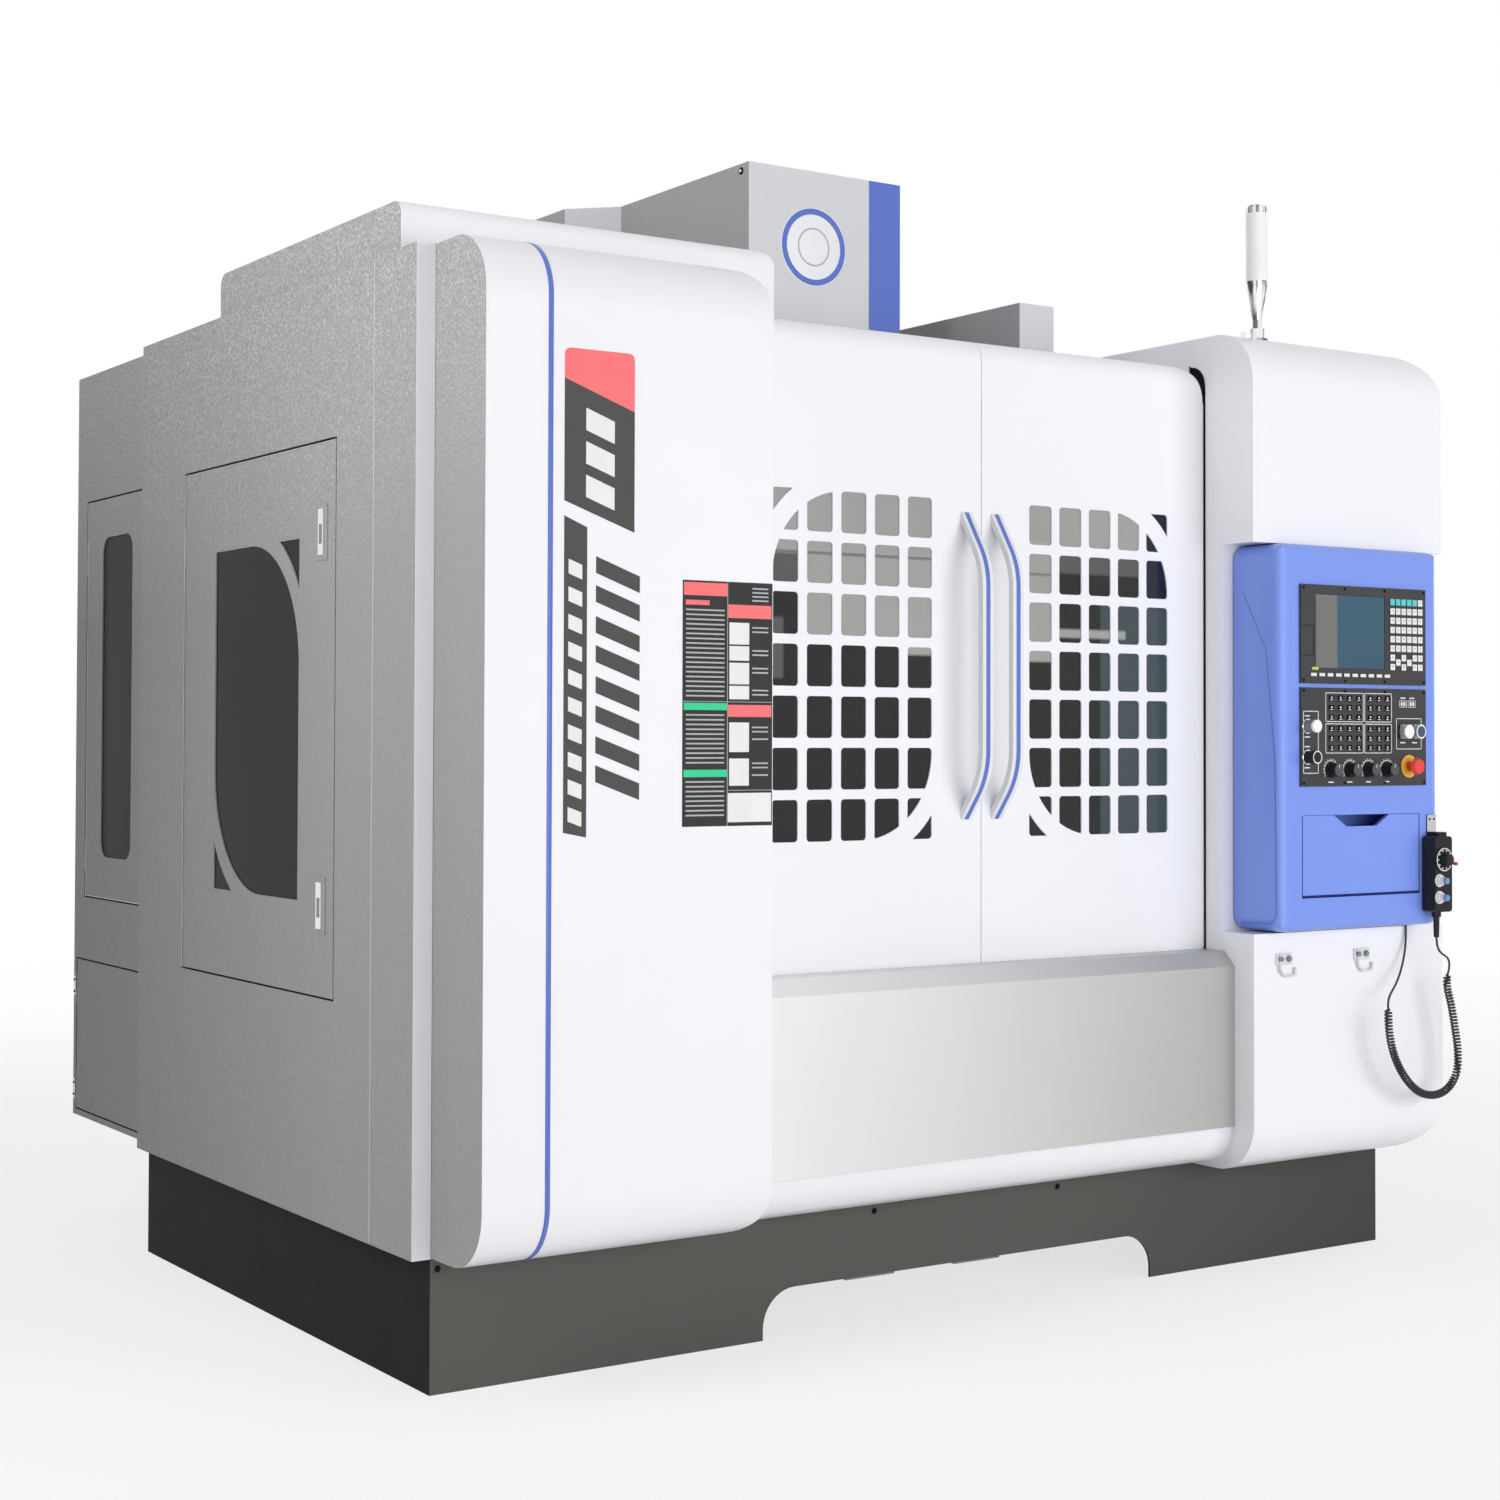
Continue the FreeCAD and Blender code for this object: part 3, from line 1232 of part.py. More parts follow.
def emergency_button():
    """Mushroom-head stop button, widest at the middle of its head."""
    x, z = control_place(EMERGENCY_PLACE)
    tip, half = module_face - S.stop_length, S.stop_half
    stem = rod("y", x, tip + 2 * half, z, S.small_stem,
               S.stop_length - 2 * half + S.stem_seat)
    crown = cone("y", x, tip, z, S.stop_radius - S.stop_bevel, S.stop_radius, half)
    flare = cone("y", x, tip + half, z, S.stop_radius, S.lens_radius, half)
    return node(fused(stem, flare, crown), "emergency_button")


# --------------------------------------------------------------------------- pendant and cord
LEAD_RADIUS = 3.5
CURL_RADIUS = 9.5
DIAL_PLACE = (26, 52)
SWITCH_PLACES = ((13, 99), (13, 137))


def pendant_place(place):
    """A place on the pendant's front, from its upper left corner."""
    right_by, down_by = place
    return pendant_left + right_by, pendant_top - down_by


def pendant_body():
    """Handwheel pendant on its hook plate, with a ribbed strain relief below."""
    body = new_body()
    add(body, "y", pendant_front, box_face - S.pendant_gap, rectangle(
        pendant_left, pendant_left + S.pendant_width, pendant_bottom, pendant_top,
        S.pendant_round))
    left, right = pendant_left + S.clip_inset, pendant_left + S.clip_inset + S.clip_width
    hook = block(left, right, box_face - S.pendant_gap, box_face, pendant_top - S.clip_drop,
                 pendant_top + S.clip_rise)
    clip_bottom = pendant_top - S.seat
    clip = block(left, right, pendant_front + S.clip_lap, box_face, clip_bottom,
                 clip_bottom + S.clip_thick)
    sleeve = cone("z", relief_x, relief_y, relief_tip, S.relief_radius, S.relief_rib,
                  S.relief_length + S.seat)
    gland = rod("z", relief_x, relief_y, pendant_bottom - S.gland_length, S.gland_radius,
                S.gland_length + S.seat)
    return node(fused(body, hook, clip, sleeve, gland), "pendant_body")


def pendant_dial():
    """Handwheel of the pendant: a disc with a smaller grip on it."""
    x, z = pendant_place(DIAL_PLACE)
    disc = rod("y", x, pendant_front - S.dial_thick, z, S.dial_radius,
               S.dial_thick - S.running_gap)
    grip = cone("y", x, pendant_front - S.crank_length, z, S.crank_radius - 2,
                S.crank_radius, S.crank_length - S.dial_thick + 1)
    return node(fused(disc, grip), "pendant_dial")


def pendant_switch(place, name):
    """Small rotary switch of the pendant."""
    x, z = pendant_place(place)
    collar = rod("y", x, pendant_front - S.collar_length, z, S.switch_radius,
                 S.collar_length - S.running_gap)
    grip = cone("y", x, pendant_front - S.lever_length, z, S.lever_tip, S.lever_root,
                S.lever_length - S.collar_length + S.seat)
    return node(fused(collar, grip), name)


def rounded_route(points, name):
    """A wire of straight runs joined by tangent arcs, as wide as their runs allow."""
    edges = []
    start = points[0]
    for before, corner, after in zip(points, points[1:], points[2:]):
        way_in = (corner - before).normalize()
        way_out = (after - corner).normalize()
        turn = way_in.getAngle(way_out)
        reach = 0.45 * min((corner - before).Length, (after - corner).Length)
        radius = reach / math.tan(turn / 2)
        enter = corner - way_in * reach
        leave = corner + way_out * reach
        bisector = (way_out - way_in).normalize()
        middle = corner + bisector * (radius / math.cos(turn / 2) - radius)
        edges.append(Part.LineSegment(start, enter).toShape())
        edges.append(Part.Arc(enter, middle, leave).toShape())
        start = leave
        print(f"{name}: turn {math.degrees(turn):.0f} deg, radius {radius:.1f}")
    edges.append(Part.LineSegment(start, points[-1]).toShape())
    return Part.Wire(edges)


def bent_rod(points, radius, name):
    """A round rod bent along points, with its volume compared with section times length."""
    route = rounded_route(points, name)
    first = route.Edges[0]
    heading = first.tangentAt(first.FirstParameter)
    ring = Part.Wire(Part.Circle(first.valueAt(first.FirstParameter), heading, radius).toShape())
    solid = route.makePipeShell([ring], True, False)
    expected = math.pi * radius * radius * route.Length
    print(f"{name}: length {route.Length:.0f} mm, volume ratio {solid.Volume / expected:.4f}")
    thing = document.addObject("Part::Feature", name)
    thing.Shape = solid
    thing.Placement = Placement()
    return thing


# The cord's routes, from the tip of the pendant's strain relief.
LEAD_POINTS = ((0, 0, 0), (0, 0, -21), (17, 0, -39), (39, 0, -47), (45, 0, -65), (38, 0, -85))
COIL_POINTS = ((38, 0, -85), (31, 0, -105), (49, 0, -152), (61, 0, -205), (72, 0, -259),
               (70, 0, -311), (36, 0, -347), (-11, 0, -357), (-63, 0, -345),
               (-107, 0, -309), (-139, 0, -263), (-156, 0, -213), (-160, 0, -167),
               (-160, 0, -151))
BOX_LEAD_POINTS = ((-160, 0, -151), (-160, 0, -131), (-139, 8, -115), (-111, 21, -103),
                   (-81, 35, -81), (-53, 48, -49), (-35, 58, -15), (-29, 63, 13),
                   (-29, 63, 27))


def cord(points, radius, name):
    """One stretch of the pendant's cord; the curly one is as thick as its curls."""
    start = point_at(relief_x, relief_y, relief_tip)
    return node(bent_rod([start + Vector(*point) for point in points], radius, name), name)


# --------------------------------------------------------------------------- lamp and hooks
def lamp_body():
    """Signal lamp: foot, socket, stem, flared holder and a bevelled cap on a tie rod."""
    x, y, floor = lamp_x, lamp_y, cover_top
    foot = rod("z", x, y, floor, S.lamp_foot_radius, S.lamp_foot)
    socket = rod("z", x, y, floor, S.lamp_socket_radius, S.lamp_socket)
    stem = rod("z", x, y, floor, S.lamp_stem_radius, S.lamp_rise - S.lamp_holder + 1)
    holder = cone("z", x, y, lens_bottom - S.lamp_holder, S.lamp_stem_radius, S.lamp_radius,
                  S.lamp_holder)
    core = rod("z", x, y, lens_bottom - 1, S.lamp_rod_radius, S.lamp_lens_length + 2)
    rim = S.lamp_cap - S.lamp_cap_bevel
    cap = rod("z", x, y, lens_top, S.lamp_radius, rim)
    bevel = cone("z", x, y, lens_top + rim, S.lamp_radius, S.lamp_radius - S.lamp_cap_bevel,
                 S.lamp_cap_bevel)
    return node(fused(foot, socket, stem, holder, core, cap, bevel), "lamp_body")


def lamp_lens():
    """Clear tube of the signal lamp, between its holder and its cap."""
    outside = S.lamp_radius - 0.5
    outer = rod("z", lamp_x, lamp_y, lens_bottom, outside, S.lamp_lens_length)
    inner = rod("z", lamp_x, lamp_y, lens_bottom - 1, outside - S.lens_wall,
                S.lamp_lens_length + 2)
    return node(without(outer, inner), "lamp_lens")


def hanger_hooks():
    """Two bent wire hooks under the control box, each on a screwed plate."""
    hooks = []
    face = cover_front
    top = S.notch_bottom - S.hook_drop
    wire_y = face - S.hook_plate_thick - S.hook_wire + 1
    for index in range(2):
        left = box_left + S.hook_inset + index * S.hook_spacing
        plate_left = left - S.hook_plate_lead
        plate = block(plate_left, plate_left + S.hook_plate_width,
                      face - S.hook_plate_thick, face, top - S.hook_plate, top)
        right, low = left + S.hook_width, top - S.hook_length
        wire = bent_rod([point_at(left, wire_y, top - 2), point_at(left, wire_y, low),
                         point_at(right, wire_y, low), point_at(right, wire_y, low + S.hook_tip)],
                        S.hook_wire.number, f"hook_{index + 1}")
        hooks.append(fused(plate, wire))
    group = document.addObject("Part::Compound", "hooks")
    group.Links = hooks
    return node(group, "hanger_hooks")


# --------------------------------------------------------------------------- machine inside
def saddle():
    """Cross slide: long casting on four guide blocks, with rails for the table."""
    y, gap = S.spindle_y, S.running_gap
    half_y, half_x = S.saddle_width / 2, S.saddle_length / 2
    half_rail, half_width = S.rail_width / 2, S.carriage_width / 2
    low = bed_rail_top + gap
    parts = [block(-half_x, half_x, y - half_y, y + half_y, low, low + S.saddle_thick)]
    channels = []
    for side in (-1, 1):
        x = side * S.bed_rail_spacing / 2
        channels.append(block(x - half_rail - gap, x + half_rail + gap, y - half_y - 1,
                              y + half_y + 1, S.bed_top, low))
        for end in (-1, 1):
            middle = y + end * S.saddle_carriage_spacing / 2
            parts.append(block(x - half_width, x + half_width,
                               middle - S.carriage_length / 2, middle + S.carriage_length / 2,
                               S.bed_top + S.carriage_lift, low + 1))
        rail_y = y + side * S.table_rail_spacing / 2
        parts.append(block(-half_x, half_x, rail_y - half_rail, rail_y + half_rail,
                           low + S.saddle_thick, saddle_rail_top))
    return node(without(fused(*parts), *channels), "saddle")


def table():
    """T-slotted table on four guide blocks."""
    y, gap = S.spindle_y, S.running_gap
    half_x, half_y = S.table_length / 2, S.table_width / 2
    half_rail, half_width = S.rail_width / 2, S.carriage_width / 2
    low = saddle_rail_top + gap
    top = low + S.table_thick
    parts = [block(-half_x, half_x, y - half_y, y + half_y, low, top)]
    hollows = []
    for side in (-1, 1):
        middle = y + side * S.table_rail_spacing / 2
        hollows.append(block(-half_x - 1, half_x + 1, middle - half_rail - gap,
                             middle + half_rail + gap, low - S.rail_height, low))
        for end in (-1, 1):
            x = end * S.table_carriage_spacing / 2
            parts.append(block(x - S.carriage_length / 2, x + S.carriage_length / 2,
                               middle - half_width, middle + half_width,
                               low - S.rail_height + S.carriage_lift, low + 1))
    half_slot = S.slot_width / 2
    for index in range(-2, 3):
        middle = y + index * S.slot_pitch
        hollows.append(block(-half_x - 1, half_x + 1, middle - half_slot, middle + half_slot,
                             top - S.slot_depth, top + 1))
        hollows.append(block(-half_x - 1, half_x + 1, middle - half_slot - S.slot_wing,
                             middle + half_slot + S.slot_wing, top - S.slot_depth,
                             top - S.slot_depth + S.slot_undercut))
    return node(without(fused(*parts), *hollows), "table")


def spindle_head():
    """Head casting on the column's rails, with its spindle housing and motor."""
    gap, y = S.running_gap, S.spindle_y
    half = S.head_width / 2
    rail_face = S.column_front - S.rail_height - gap
    nape, slope = head_top + S.head_nape, S.head_slope
    body = new_body()
    add(body, "x", -half, half, Loop(
        (rail_face, head_bottom), (rail_face, nape), (rail_face - slope, nape),
        (rail_face - 2 * slope, head_top), (y - S.head_chin, head_top),
        (y - S.head_chin, head_bottom + S.chin_bevel), (y - S.nose_radius, head_bottom)))
    half_plate = S.head_plate_width / 2
    plate = block(-half_plate, half_plate, rail_face - S.head_plate_thick, rail_face,
                  head_bottom, head_top + S.plate_rise)
    half_rail, half_width = S.rail_width / 2, S.carriage_width / 2
    blocks, channels = [], []
    for side in (-1, 1):
        x = side * S.column_rail_spacing / 2
        channels.append(block(x - half_rail - gap, x + half_rail + gap, rail_face,
                              S.column_front, head_bottom - 1, nape + REACH))
        for level in (head_bottom + S.carriage_inset,
                      head_top + S.plate_rise - S.carriage_inset - S.head_carriage):
            blocks.append(block(x - half_width, x + half_width, rail_face - 1,
                                S.column_front - S.carriage_lift, level,
                                level + S.head_carriage))
    housing = rod("z", 0, y, nose_bottom, S.nose_radius, S.nose_drop + 1)
    bore = rod("z", 0, y, nose_bottom - 1, S.spindle_radius + S.bearing_gap,
               S.spindle_length + 2)
    half_motor = S.motor_size / 2
    motor = block(-half_motor, half_motor, y - half_motor, y + half_motor, head_top,
                  head_top + S.motor_height)
    whole = fused(body, plate, *blocks, housing, motor)
    return node(without(whole, *channels, bore), "spindle_head")


def spindle():
    """Rotating spindle with its 7:24 taper socket and two drive keys."""
    y = S.spindle_y
    barrel = rod("z", 0, y, nose_bottom, S.spindle_radius, S.spindle_length)
    mouth = nose_bottom - S.nose_length
    nose = rod("z", 0, y, mouth, S.spindle_nose_radius, S.nose_length + 1)
    socket = cone("z", 0, y, mouth - 1, S.taper_radius, S.taper_end, S.taper_length)
    half = S.drive_key / 2
    keys = [block(side * S.drive_key_offset - half, side * S.drive_key_offset + half,
                  y - half, y + half, mouth - S.drive_key_height, mouth + 1)
            for side in (-1, 1)]
    return node(without(fused(barrel, nose, *keys), socket), "spindle")


def magazine_arm():
    """Slide on the column's beam that carries the tool disc to the spindle."""
    gap, wall, seat = S.running_gap, S.slider_wall, S.seat
    centre_x, y = -S.magazine_reach, S.spindle_y
    half_arm = S.arm_width / 2
    beam_front = S.column_front + S.beam_inset
    beam_back, beam_top = beam_front + S.beam_depth, head_bottom + S.beam_height
    right = centre_x - S.slider_offset
    left = right - S.slider_length
    slider = block(left, right, beam_front - wall, beam_back + wall, head_bottom - wall,
                   beam_top + wall)
    tunnel = block(left - 1, right + 1, beam_front - gap, beam_back + gap,
                   head_bottom - gap, beam_top + gap)
    arm_top = head_bottom + S.arm_thick
    arm = block(left, left + S.arm_width, y - half_arm, beam_front - wall + seat,
                head_bottom, arm_top)
    bridge = block(left, centre_x + half_arm, y - half_arm, y + half_arm, head_bottom,
                   arm_top)
    disc_top = disc_bottom + S.disc_thick
    hub = rod("z", centre_x, y, disc_top + gap, S.hub_radius,
              head_bottom - disc_top - gap + seat)
    axle = rod("z", centre_x, y, disc_bottom, S.axle_radius,
               head_bottom - disc_bottom + seat)
    return node(without(fused(slider, arm, bridge, hub, axle), tunnel), "magazine_arm")


def magazine_disc():
    """Tool disc with open pockets round its rim."""
    centre_x, y = -S.magazine_reach, S.spindle_y
    disc = rod("z", centre_x, y, disc_bottom, S.disc_radius, S.disc_thick)
    low, height = disc_bottom - 1, S.disc_thick + 2
    holes = [rod("z", centre_x, y, low, S.axle_radius + S.pin_clearance, height)]
    for index in range(POCKETS):
        angle = 2 * math.pi * index / POCKETS
        holes.append(rod("z", centre_x + S.pocket_circle * math.cos(angle),
                         y + S.pocket_circle * math.sin(angle), low, S.pocket_radius, height))
    return node(without(disc, *holes), "magazine_disc")


# --------------------------------------------------------------------------- build
base_skirt()
bed_casting()
column_casting()
left_side_panel()
node(side_panel(1), "right_side_panel")
rear_panel()
roof_panel()
roof_cover()
roof_duct()
tower_hood()
left_front_cover()
right_column_cover()
lower_front_panel()
kick_strip()
door_sill()
for door_side, door_name in ((-1, "left"), (1, "right")):
    sliding_door(door_side, f"{door_name}_door")
    door_glass(door_side, f"{door_name}_door_glass")
    door_handle(door_side, f"{door_name}_handle")
side_door()
window_pane(left_plane, S.side_window_front, S.side_window_back, S.side_window_bottom,
            S.side_window_top, "side_door_glass")
latch(S.latch_high, "latch_upper")
latch(S.latch_low, "latch_lower")
rear_cabinet()
cabinet_door(upper_door_front, upper_door_back, S.upper_door_bottom, S.upper_door_top,
             upper_hinge_heights, "rear_upper_door",
             rectangle(upper_window_front, upper_window_back, S.upper_window_bottom,
                       S.upper_window_top, S.upper_window_round))
window_pane(cabinet_left, upper_window_front, upper_window_back, S.upper_window_bottom,
            S.upper_window_top, "rear_upper_glass")
cabinet_door(lower_door_front, lower_door_back, lower_door_bottom, lower_door_top,
             lower_hinge_heights, "rear_lower_door")
lubrication_tank()
electrical_cabinet()
control_box()
tray_flap()
screen_module()
operator_module()
for number, knob_place in enumerate(KNOB_PLACES, start=1):
    knob(knob_place, f"override_knob_{number}")
push_button(START_PLACE, "start_button")
push_button(STOP_PLACE, "stop_button")
for number, guard_place in enumerate(GUARD_PLACES, start=1):
    guarded_button(guard_place, f"guarded_button_{number}")
emergency_button()
pendant_body()
pendant_dial()
for number, switch_place in enumerate(SWITCH_PLACES, start=1):
    pendant_switch(switch_place, f"pendant_switch_{number}")
cord(LEAD_POINTS, LEAD_RADIUS, "pendant_lead")
cord(COIL_POINTS, CURL_RADIUS, "curly_cord")
cord(BOX_LEAD_POINTS, LEAD_RADIUS, "box_lead")
lamp_body()
lamp_lens()
hanger_hooks()
saddle()
table()
spindle_head()
spindle()
magazine_arm()
magazine_disc()

document.recompute()
for thing in document.Objects:
    if "Invalid" in thing.State or "Error" in thing.State:
        raise RuntimeError(f"{thing.Name} ({thing.Label}) failed: {thing.State}")
os.makedirs("parts", exist_ok=True)
for name, thing in NODES.items():
    shape = thing.Shape
    if shape.isNull() or not shape.isValid():
        raise RuntimeError(f"{name} has no valid shape")
    shape.exportStep(f"parts/{name}.step")
print(len(NODES), "nodes written")
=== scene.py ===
"""Looks of the CNC machining center: finishes, trim, cord, light and camera."""
import bmesh
import bpy
import math
from mathutils import Matrix, Vector
from mathutils.bvhtree import BVHTree


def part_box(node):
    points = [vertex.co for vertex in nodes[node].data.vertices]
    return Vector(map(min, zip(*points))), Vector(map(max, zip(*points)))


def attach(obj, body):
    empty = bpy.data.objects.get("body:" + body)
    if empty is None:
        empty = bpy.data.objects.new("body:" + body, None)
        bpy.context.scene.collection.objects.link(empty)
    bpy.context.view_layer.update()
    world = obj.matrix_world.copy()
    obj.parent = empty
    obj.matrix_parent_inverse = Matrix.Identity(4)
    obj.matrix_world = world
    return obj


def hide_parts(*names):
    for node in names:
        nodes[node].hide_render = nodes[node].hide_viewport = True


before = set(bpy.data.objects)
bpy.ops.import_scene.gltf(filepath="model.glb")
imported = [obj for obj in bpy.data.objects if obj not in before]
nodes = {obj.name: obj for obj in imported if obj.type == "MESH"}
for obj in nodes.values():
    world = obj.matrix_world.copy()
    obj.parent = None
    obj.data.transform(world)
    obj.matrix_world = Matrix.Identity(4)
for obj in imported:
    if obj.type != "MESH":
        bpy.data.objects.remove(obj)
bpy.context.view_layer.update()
MM = 0.001
SKIN = 0.00005  # how far a thin piece stands off the face that carries it


# ------------------------------------------------------------------ camera
CAMERA_PLACE = (-3.1666, -4.6589, 1.1799)
CAMERA_HEADING = math.radians(33.81)
CAMERA_PITCH = math.radians(1.24)
CAMERA_ROLL = math.radians(0.15)
CAMERA_LENS = 57.71
CAMERA_SENSOR = 36
CAMERA_REACH = 200
CAMERA_SHIFT = (-0.00378, -0.04187)


def make_camera():
    data = bpy.data.cameras.new("camera")
    data.lens = CAMERA_LENS
    data.sensor_width = CAMERA_SENSOR
    data.shift_x, data.shift_y = CAMERA_SHIFT
    data.clip_end = CAMERA_REACH
    camera = bpy.data.objects.new("camera", data)
    bpy.context.scene.collection.objects.link(camera)
    ahead = Vector((math.sin(CAMERA_HEADING) * math.cos(CAMERA_PITCH),
                    math.cos(CAMERA_HEADING) * math.cos(CAMERA_PITCH),
                    math.sin(CAMERA_PITCH)))
    right = Vector((math.cos(CAMERA_HEADING), -math.sin(CAMERA_HEADING), 0))
    up = right.cross(ahead)
    tilted_right = right * math.cos(CAMERA_ROLL) + up * math.sin(CAMERA_ROLL)
    tilted_up = up * math.cos(CAMERA_ROLL) - right * math.sin(CAMERA_ROLL)
    turn = Matrix((tilted_right, tilted_up, -ahead)).transposed()
    camera.matrix_world = Matrix.Translation(CAMERA_PLACE) @ turn.to_4x4()
    bpy.context.scene.camera = camera


make_camera()


# ------------------------------------------------------------------ shader expressions
class Field:
    """A shader socket that can stand in an expression."""

    def __init__(self, paint, socket):
        self.paint = paint
        self.socket = socket

    def __add__(self, other):
        return self.paint.math("ADD", self, other)

    __radd__ = __add__

    def __sub__(self, other):
        return self.paint.math("SUBTRACT", self, other)

    def __rsub__(self, other):
        return self.paint.math("SUBTRACT", other, self)

    def __mul__(self, other):
        return self.paint.math("MULTIPLY", self, other)

    __rmul__ = __mul__

    def __gt__(self, other):
        return self.paint.math("GREATER_THAN", self, other)


class Paint:
    """A node tree under construction: nodes are added by expressions and one method."""

    def __init__(self, name, owner=None):
        self.owner = owner or bpy.data.materials.new(name)
        self.owner.use_nodes = True
        self.tree = self.owner.node_tree
        self.tree.nodes.clear()
        self.place = self.out("Object", "ShaderNodeTexCoord")

    def node(self, kind, settings=None, **values):
        """Adds a node, applies its settings, then its socket values or links."""
        made = self.tree.nodes.new(kind)
        for key, value in (settings or {}).items():
            setattr(made, key, value)
        for key, value in values.items():
            socket = made.inputs[int(key[1:])] if key[0] == "i" and key[1:].isdigit() \
                else made.inputs[key.replace("_", " ")]
            if isinstance(value, Field):
                self.tree.links.new(value.socket, socket)
            else:
                socket.default_value = value
        return made

    def out(self, output, kind, settings=None, **values):
        """One output of a new node, ready for an expression."""
        return Field(self, self.node(kind, settings, **values).outputs[output])

    def math(self, operation, first, second=0.0):
        return self.out(0, "ShaderNodeMath", {"operation": operation}, i0=first, i1=second)

    def clamp(self, value, low, high):
        """0 below low, 1 above high, straight between."""
        return self.out(0, "ShaderNodeMapRange", {"clamp": True}, i0=value, i1=low, i2=high)

    def noise(self, scale, detail=2.0, stretch=(1, 1, 1)):
        stretched = self.out(0, "ShaderNodeMapping", Vector=self.place, Scale=stretch)
        return self.out("Fac", "ShaderNodeTexNoise", Vector=stretched, Scale=scale,
                        Detail=detail)

    def axis(self, name):
        return self.out(name, "ShaderNodeSeparateXYZ", Vector=self.place)

    def facing(self, name):
        """One part of the surface's own normal."""
        normal = self.out("Normal", "ShaderNodeTexCoord")
        return self.out(name, "ShaderNodeSeparateXYZ", Vector=normal)

    def distance_from(self, centre):
        return self.out("Value", "ShaderNodeVectorMath", {"operation": "DISTANCE"},
                        i0=self.place, i1=centre)

    def patch(self, low, high, soft=0.003):
        """1 inside an upright rectangle in X and Z, 0 outside it."""
        inside = 1.0
        for axis, start, end in zip("XZ", low, high):
            place = self.axis(axis)
            inside = inside * self.clamp(place, start - soft, start + soft)
            inside = inside * (1 - self.clamp(place, end - soft, end + soft))
        return inside

    def mixed(self, mask, first, second):
        """first where the mask is 0, second where it is 1."""
        return self.out(2, "ShaderNodeMix", {"data_type": "RGBA"}, i0=mask, i6=rgba(first),
                        i7=rgba(second))

    def bump(self, height, strength, distance=0.001):
        return self.out(0, "ShaderNodeBump", Strength=strength, Distance=distance,
                        Height=height)

    def seen_by(self, *rays):
        """1 for the named kinds of ray, 0 for every other."""
        path = self.node("ShaderNodeLightPath")
        seen = Field(self, path.outputs[rays[0]])
        for ray in rays[1:]:
            seen = self.math("MAXIMUM", seen, Field(self, path.outputs[ray]))
        return seen

    def done(self, colour, roughness=0.4, metallic=0.0, bump=None, coat=0.0, **others):
        """Ends the tree in one surface shader and gives the material."""
        shader = self.node("ShaderNodeBsdfPrincipled", Roughness=roughness,
                           Metallic=metallic, Base_Color=rgba(colour), Coat_Weight=coat,
                           **others)
        if bump:
            self.tree.links.new(bump.socket, shader.inputs["Normal"])
        self.end(shader, "ShaderNodeOutputMaterial")
        return self.owner

    def split(self, mask, first, second, output):
        """Ends the tree in two shaders: first where the mask is 0, second where it is 1."""
        choice = self.node("ShaderNodeMixShader", Fac=mask)
        self.tree.links.new(first.outputs[0], choice.inputs[1])
        self.tree.links.new(second.outputs[0], choice.inputs[2])
        self.end(choice, output)
        return self.owner

    def end(self, shader, output):
        self.tree.links.new(shader.outputs[0], self.node(output).inputs["Surface"])


def rgba(colour):
    if isinstance(colour, Field) or len(colour) == 4:
        return colour
    return (*colour, 1.0)


def tint(colour, factor):
    return tuple(part * factor for part in colour)


# ------------------------------------------------------------------ finishes
WHITE = (0.84, 0.84, 0.88)
SILVER = (0.285, 0.29, 0.285)
DARK = (0.102, 0.098, 0.092)
DARK_SIDE = (0.014, 0.014, 0.0115)
BLUE = (0.185, 0.29, 0.80)
DEEP_BLUE = (0.085, 0.155, 0.55)
SILVER_METAL = 0.12
SILVER_RELIEF = 0.16

# how many features of a texture there are to a metre
CLOUDS, PEEL, SPECKS = 1.7, 420, 900


def painted(name, colour, roughness=0.34, peel=0.03, coat=0.25):
    """Sprayed enamel: faint cloudiness and orange peel."""
    paint = Paint(name)
    cloud = paint.noise(CLOUDS, 3)
    mixed = paint.mixed(cloud, tint(colour, 0.97), tint(colour, 1.03))
    rough = paint.noise(9, 3) * 0.08 + (roughness - 0.04)
    return paint.done(mixed, rough, 0.0, paint.bump(paint.noise(PEEL, 2), peel), coat,
                      Coat_Roughness=0.12)


def hammered(name, colour):
    """Silver sheet with its fine sparkling texture, with painted light up high and painted shade
    towards the back.
    """
    paint = Paint(name)
    mixed, rough, relief = sparkle(paint, colour)
    return paint.done(mixed, rough, SILVER_METAL, paint.bump(relief, SILVER_RELIEF),
                      Specular_IOR_Level=0.25)


def sparkle(paint, colour):
    """Colour, roughness and relief of the silver texture, with painted light and shade: flecks
    and tone grow lighter up high, and the tone darkens towards the back.
    """
    grain = paint.noise(200, 2)
    # painted light: flecks and pits grow stronger with height
    height = paint.clamp(paint.axis("Z") + paint.noise(0.9, 2) * 0.5, 1.75, 2.4)
    flecks = paint.clamp(grain, 0.52, 0.62) * (height * 0.62 + 0.10)
    pits = paint.clamp(paint.noise(150, 2), 0.34, 0.46)
    # painted shade towards the back, painted light up high
    rear = paint.clamp(paint.axis("Y"), -0.4, 1.25)
    upper = paint.clamp(paint.axis("Z"), 1.45, 2.25)
    plain = paint.mixed(upper, paint.mixed(rear, tint(colour, 1.0), tint(colour, 0.56)),
                        tint(colour, 1.18))
    pitted = paint.mixed((1 - pits) * (height * 0.5 + 0.15), plain, tint(colour, 0.6))
    mixed = paint.mixed(flecks, pitted, tint(colour, 2.1))
    return mixed, paint.noise(60, 2) * 0.16 + 0.36, grain


